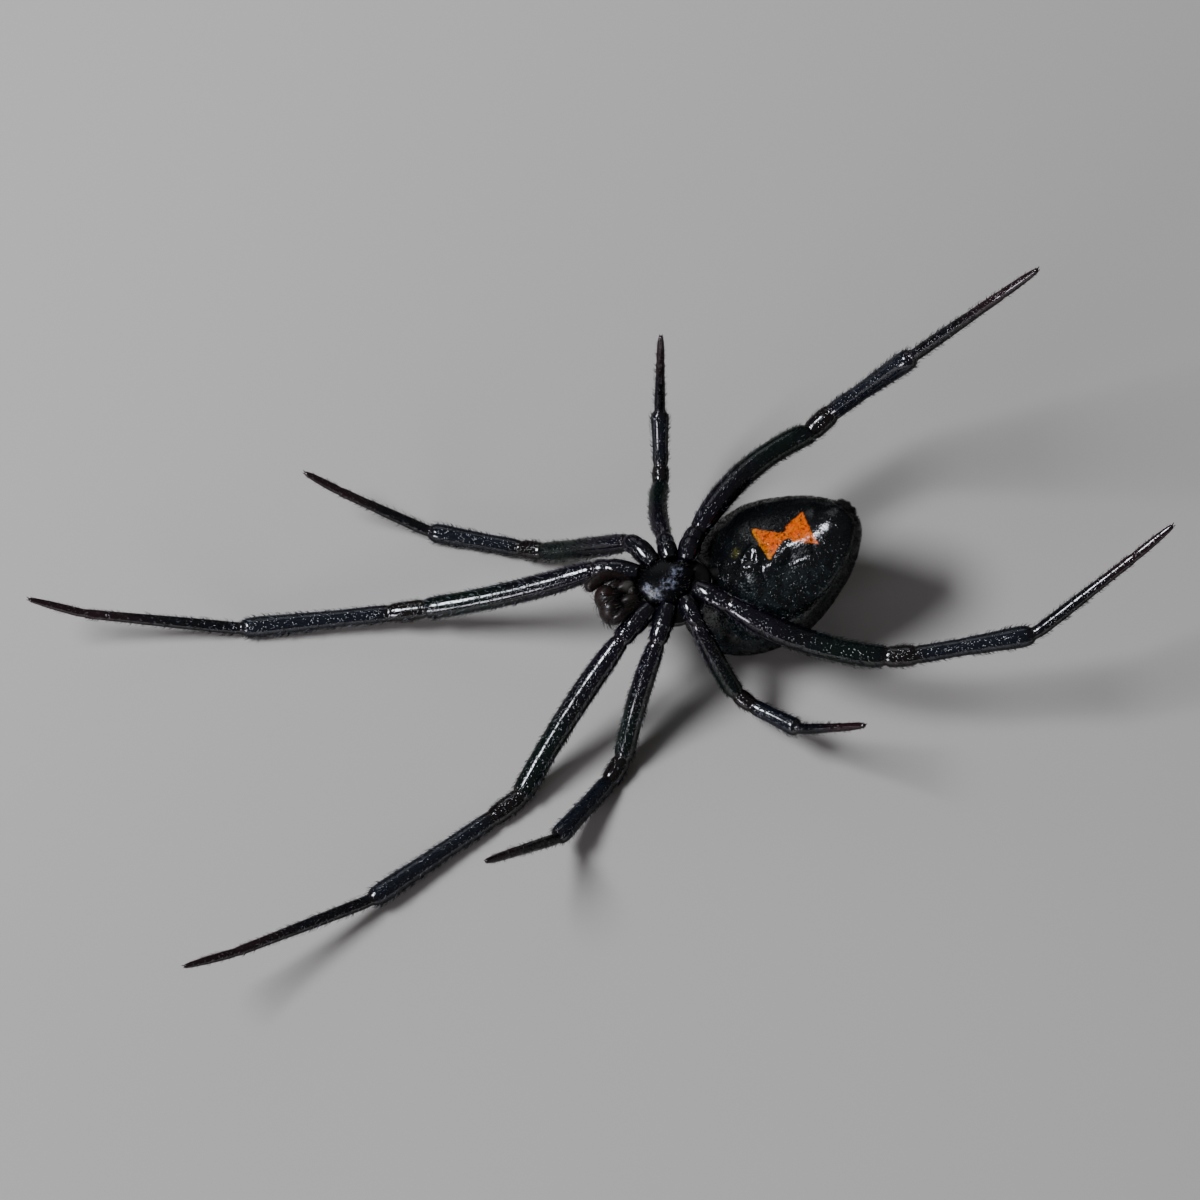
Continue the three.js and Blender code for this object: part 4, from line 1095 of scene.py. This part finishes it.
# Places run towards the tail, the left and the belly. Those of the jaws and fangs are for the left one,
# about a middle that is shifted to the spider's right.
mouth = {"plates": (((-1.62, 0.3, -0.2), (0.42, 0.27, 0.32)), ((-1.62, -0.3, -0.2), (0.42, 0.27, 0.32)),
                    ((-1.36, 0, -0.25), (0.2, 0.24, 0.3)), ((-1.98, 0.44, -0.16), (0.34, 0.24, 0.3))),
         "tones": ((0.006, 0.004, 0.0032), (0.02, 0.0125, 0.0095), (0.075, 0.07, 0.06))}
jaw = {"shift": -0.2, "lobe": ((-2.4, 0.32, -0.17), (0.5, 0.48, 0.68)),
       "bridge": ((-2.4, 0.1, -0.19), (0.47, 0.3, 0.64)),
       "fang": ((-2.62, 0.34, 0.34), (-2.48, 0.2, 0.46), (-2.24, 0.1, 0.42)),
       "fangRadii": (0.08, 0.07, 0.05, 0.025)}
palps = {
    "left": {"path": ((-1.3, 0.62, -0.42), (-1.79, 0.93, 0), (-2.45, 0.88, 0.15), (-3.04, 0.6, 0.2)),
             "radii": (0.2, 0.22, 0.22, 0.2, 0.25, 0.26, 0.25, 0.2)},
    "right": {"path": ((-1.3, -0.62, -0.42), (-1.65, -0.78, 0.05), (-2.11, -0.98, 0.2), (-2.5, -1.06, 0.16)),
              "radii": (0.18, 0.2, 0.2, 0.18, 0.21, 0.22, 0.2, 0.15)},
}


def mouthFinish():
    # brown in two tones, with pale soft skin in patches
    finish = Finish("mouth_shell")
    dark, light, pale = (colour(*tone) for tone in mouth["tones"])
    tone = finish.mix(finish.clouds(2, 0.4, 0.65), dark, light)
    tone = finish.mix(finish.clouds(1.6, 0.56, 0.7, detail=1, roughness=0.3), tone, pale)
    return finish.set(baseColor=tone, roughness=0.42, specular=0.4,
                      normal=finish.bump(finish.noise(5), 0.014, 0.5))


def jawPlace(place, side):
    # a place of the left jaw, mirrored for the right one about the shifted middle
    return place[0], jaw["shift"] + side * place[1], place[2]


plateGrids = [eggGrid(*plate) for plate in mouth["plates"]]
keep(surfacePiece("mouth_skin", plateGrids, mouthFinish()), "brown_shell", "mouth_plates")
fangHorn = simpleFinish("fang_horn", (0.008, 0.0035, 0.0025), (0.02, 0.008, 0.004), 0.15, 0.004)
headShell = simpleFinish("chelicera_shell", (0.007, 0.0034, 0.0028), (0.02, 0.0085, 0.006), 0.36, 0.014, 5)
jawGrids, palpGrids = [], []
for word, side in (("left", 1), ("right", -1)):
    eggs = [eggGrid(jawPlace(place, side), halves, 40, 44) for place, halves in (jaw["lobe"], jaw["bridge"])]
    jawGrids.append(eggs[0])
    keep(surfacePiece(f"chelicera_{word}_skin", eggs, headShell), "brown_shell", f"chelicera_{word}")
    hook = limbGrid([bodyPoint(*jawPlace(place, side)) for place in jaw["fang"]], jaw["fangRadii"], 20, 0.02)
    keep(surfacePiece(f"fang_{word}", [hook], fangHorn), "brown_shell")
    path = [bodyPoint(*place) for place in palps[word]["path"]]
    palpGrids.append(limbGrid(path, palps[word]["radii"], 32, soft=0.09))
    keep(surfacePiece(f"palp_{word}_skin", [palpGrids[-1]], headShell), "brown_shell", f"palp_{word}")

# how many hairs, and how long, on the sternum, the mouth plates, the jaws and the palps
headCoats = ((260, 0.2), (60, 0.2), (60, 0.2), (20, 0.2), (20, 0.2), (150, 0.42), (150, 0.42), (380, 0.2),
             (380, 0.2))
headCoat = {"thick": 0.0105, "rise": 48, "scatter": 0.5}
coats = [headCoat | {"count": count, "length": length} for count, length in headCoats]
coatGrids = [sternumSkin, *plateGrids, *jawGrids, *palpGrids]
headHair = simpleFinish("head_hair", (0.009, 0.0075, 0.0075), (0.016, 0.012, 0.012), 0.34)
keep(hairCoat("head_hair", coatGrids, coats, headHair, 21), "black_shell")

# each eye's place to the side and up, and its radius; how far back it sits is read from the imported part
eyes = {"front_inner": (0.15, -1.27, 0.13), "front_outer": (0.46, -1.22, 0.11),
        "back_inner": (0.16, -1.54, 0.12), "back_outer": (0.55, -1.42, 0.11)}
eyeSunk = 0.04
eyeGloss = simpleFinish("eye_gloss", (0.004, 0.004, 0.005), (0.012, 0.01, 0.01), 0.03, 0.0005, gloss=0.9)
for row, (left, up, radius) in eyes.items():
    for word, side in (("left", 1), ("right", -1)):
        low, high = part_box(f"eye_{row}_{word}")
        front = np.array(low + high) / 2 / metre - np.array(bodyFrame["sternum"])
        back = float(front @ towardsTail) + eyeSunk
        bead = eggGrid((back, side * left, up), (radius, radius, radius), 24, 28)
        keep(surfacePiece(f"eye_{row}_{word}_bead", [bead], eyeGloss), "eye_gloss", f"eye_{row}_{word}")
print("head made")


# The floor is a sheet with a half width, and its colour grows lighter between two distances along a way, as
# painted light.
# Lights lie right of the camera's aim, raised above it and towards the camera, in millimetres; power is in
# watts.
studio = {"half": 700, "below": -0.01, "tones": ((0.592, 0.56, 0.52), (0.65, 0.615, 0.57)),
          "farTone": (0.725, 0.69, 0.64), "farWay": (-0.3, 1.0, 0.0), "far": (-12, 45),
          "world": 0.06, "worldTone": (0.86, 0.88, 0.92)}
lights = {
    "key": {"right": -190, "raised": 105, "towards": 218, "size": 140, "tall": 90, "power": 0.89,
            "tint": (0.88, 0.915, 1.0)},
    "fill": {"right": -180, "raised": -150, "towards": 160, "size": 90, "tall": 90, "power": 0.19,
             "tint": (0.92, 0.89, 1.0)},
    "back": {"right": -60, "raised": 260, "towards": 40, "size": 160, "tall": 160, "power": 0.03,
             "tint": (0.95, 0.97, 1.0)},
}


def makeFloor():
    # a level sheet with a faint broad painted shading in clouds, and a painted light that grows towards the
    # far side
    finish = Finish("pale_floor")
    near, cloud = (colour(*tone) for tone in studio["tones"])
    tone = finish.mix(finish.clouds(0.012, 0.3, 0.7, detail=2), near, cloud)
    far = finish.ramp(finish.along(studio["farWay"], (0.0, 0.0, 0.0)), *studio["far"])
    tone = finish.mix(far, tone, colour(*studio["farTone"]))
    material = finish.set(baseColor=tone, roughness=0.85, specular=0.2)
    signs = np.array([[-1, -1], [1, -1], [1, 1], [-1, 1]])
    corners = np.column_stack([signs * float(studio["half"]), np.full(4, studio["below"])])
    meshObject("floor", corners, np.array([[0, 1, 2, 3]]), np.zeros((0, 3), int), material)


def makeLights():
    # soft round lights that face the camera's aim, and a dim pale sky
    right, up, towards = photoAxes
    for name, light in lights.items():
        data = bpy.data.lights.new(name, "AREA")
        data.shape = "ELLIPSE"
        data.size = light["size"] * metre
        data.size_y = light["tall"] * metre
        data.energy = light["power"]
        data.color = light["tint"]
        item = bpy.data.objects.new(name, data)
        bpy.context.collection.objects.link(item)
        place = photoAim + right * light["right"] + up * light["raised"] + towards * light["towards"]
        back = unit(place - photoAim)
        across = unit(np.cross([0.0, 0.0, 1.0], back))
        placeFacing(item, place, across, np.cross(back, across), back)
    world = bpy.data.worlds.new("studio_air")
    world.use_nodes = True
    background = world.node_tree.nodes["Background"]
    background.inputs["Color"].default_value = colour(*studio["worldTone"])
    background.inputs["Strength"].default_value = studio["world"]
    bpy.context.scene.world = world


makeFloor()
makeLights()
print("floor and lights made")
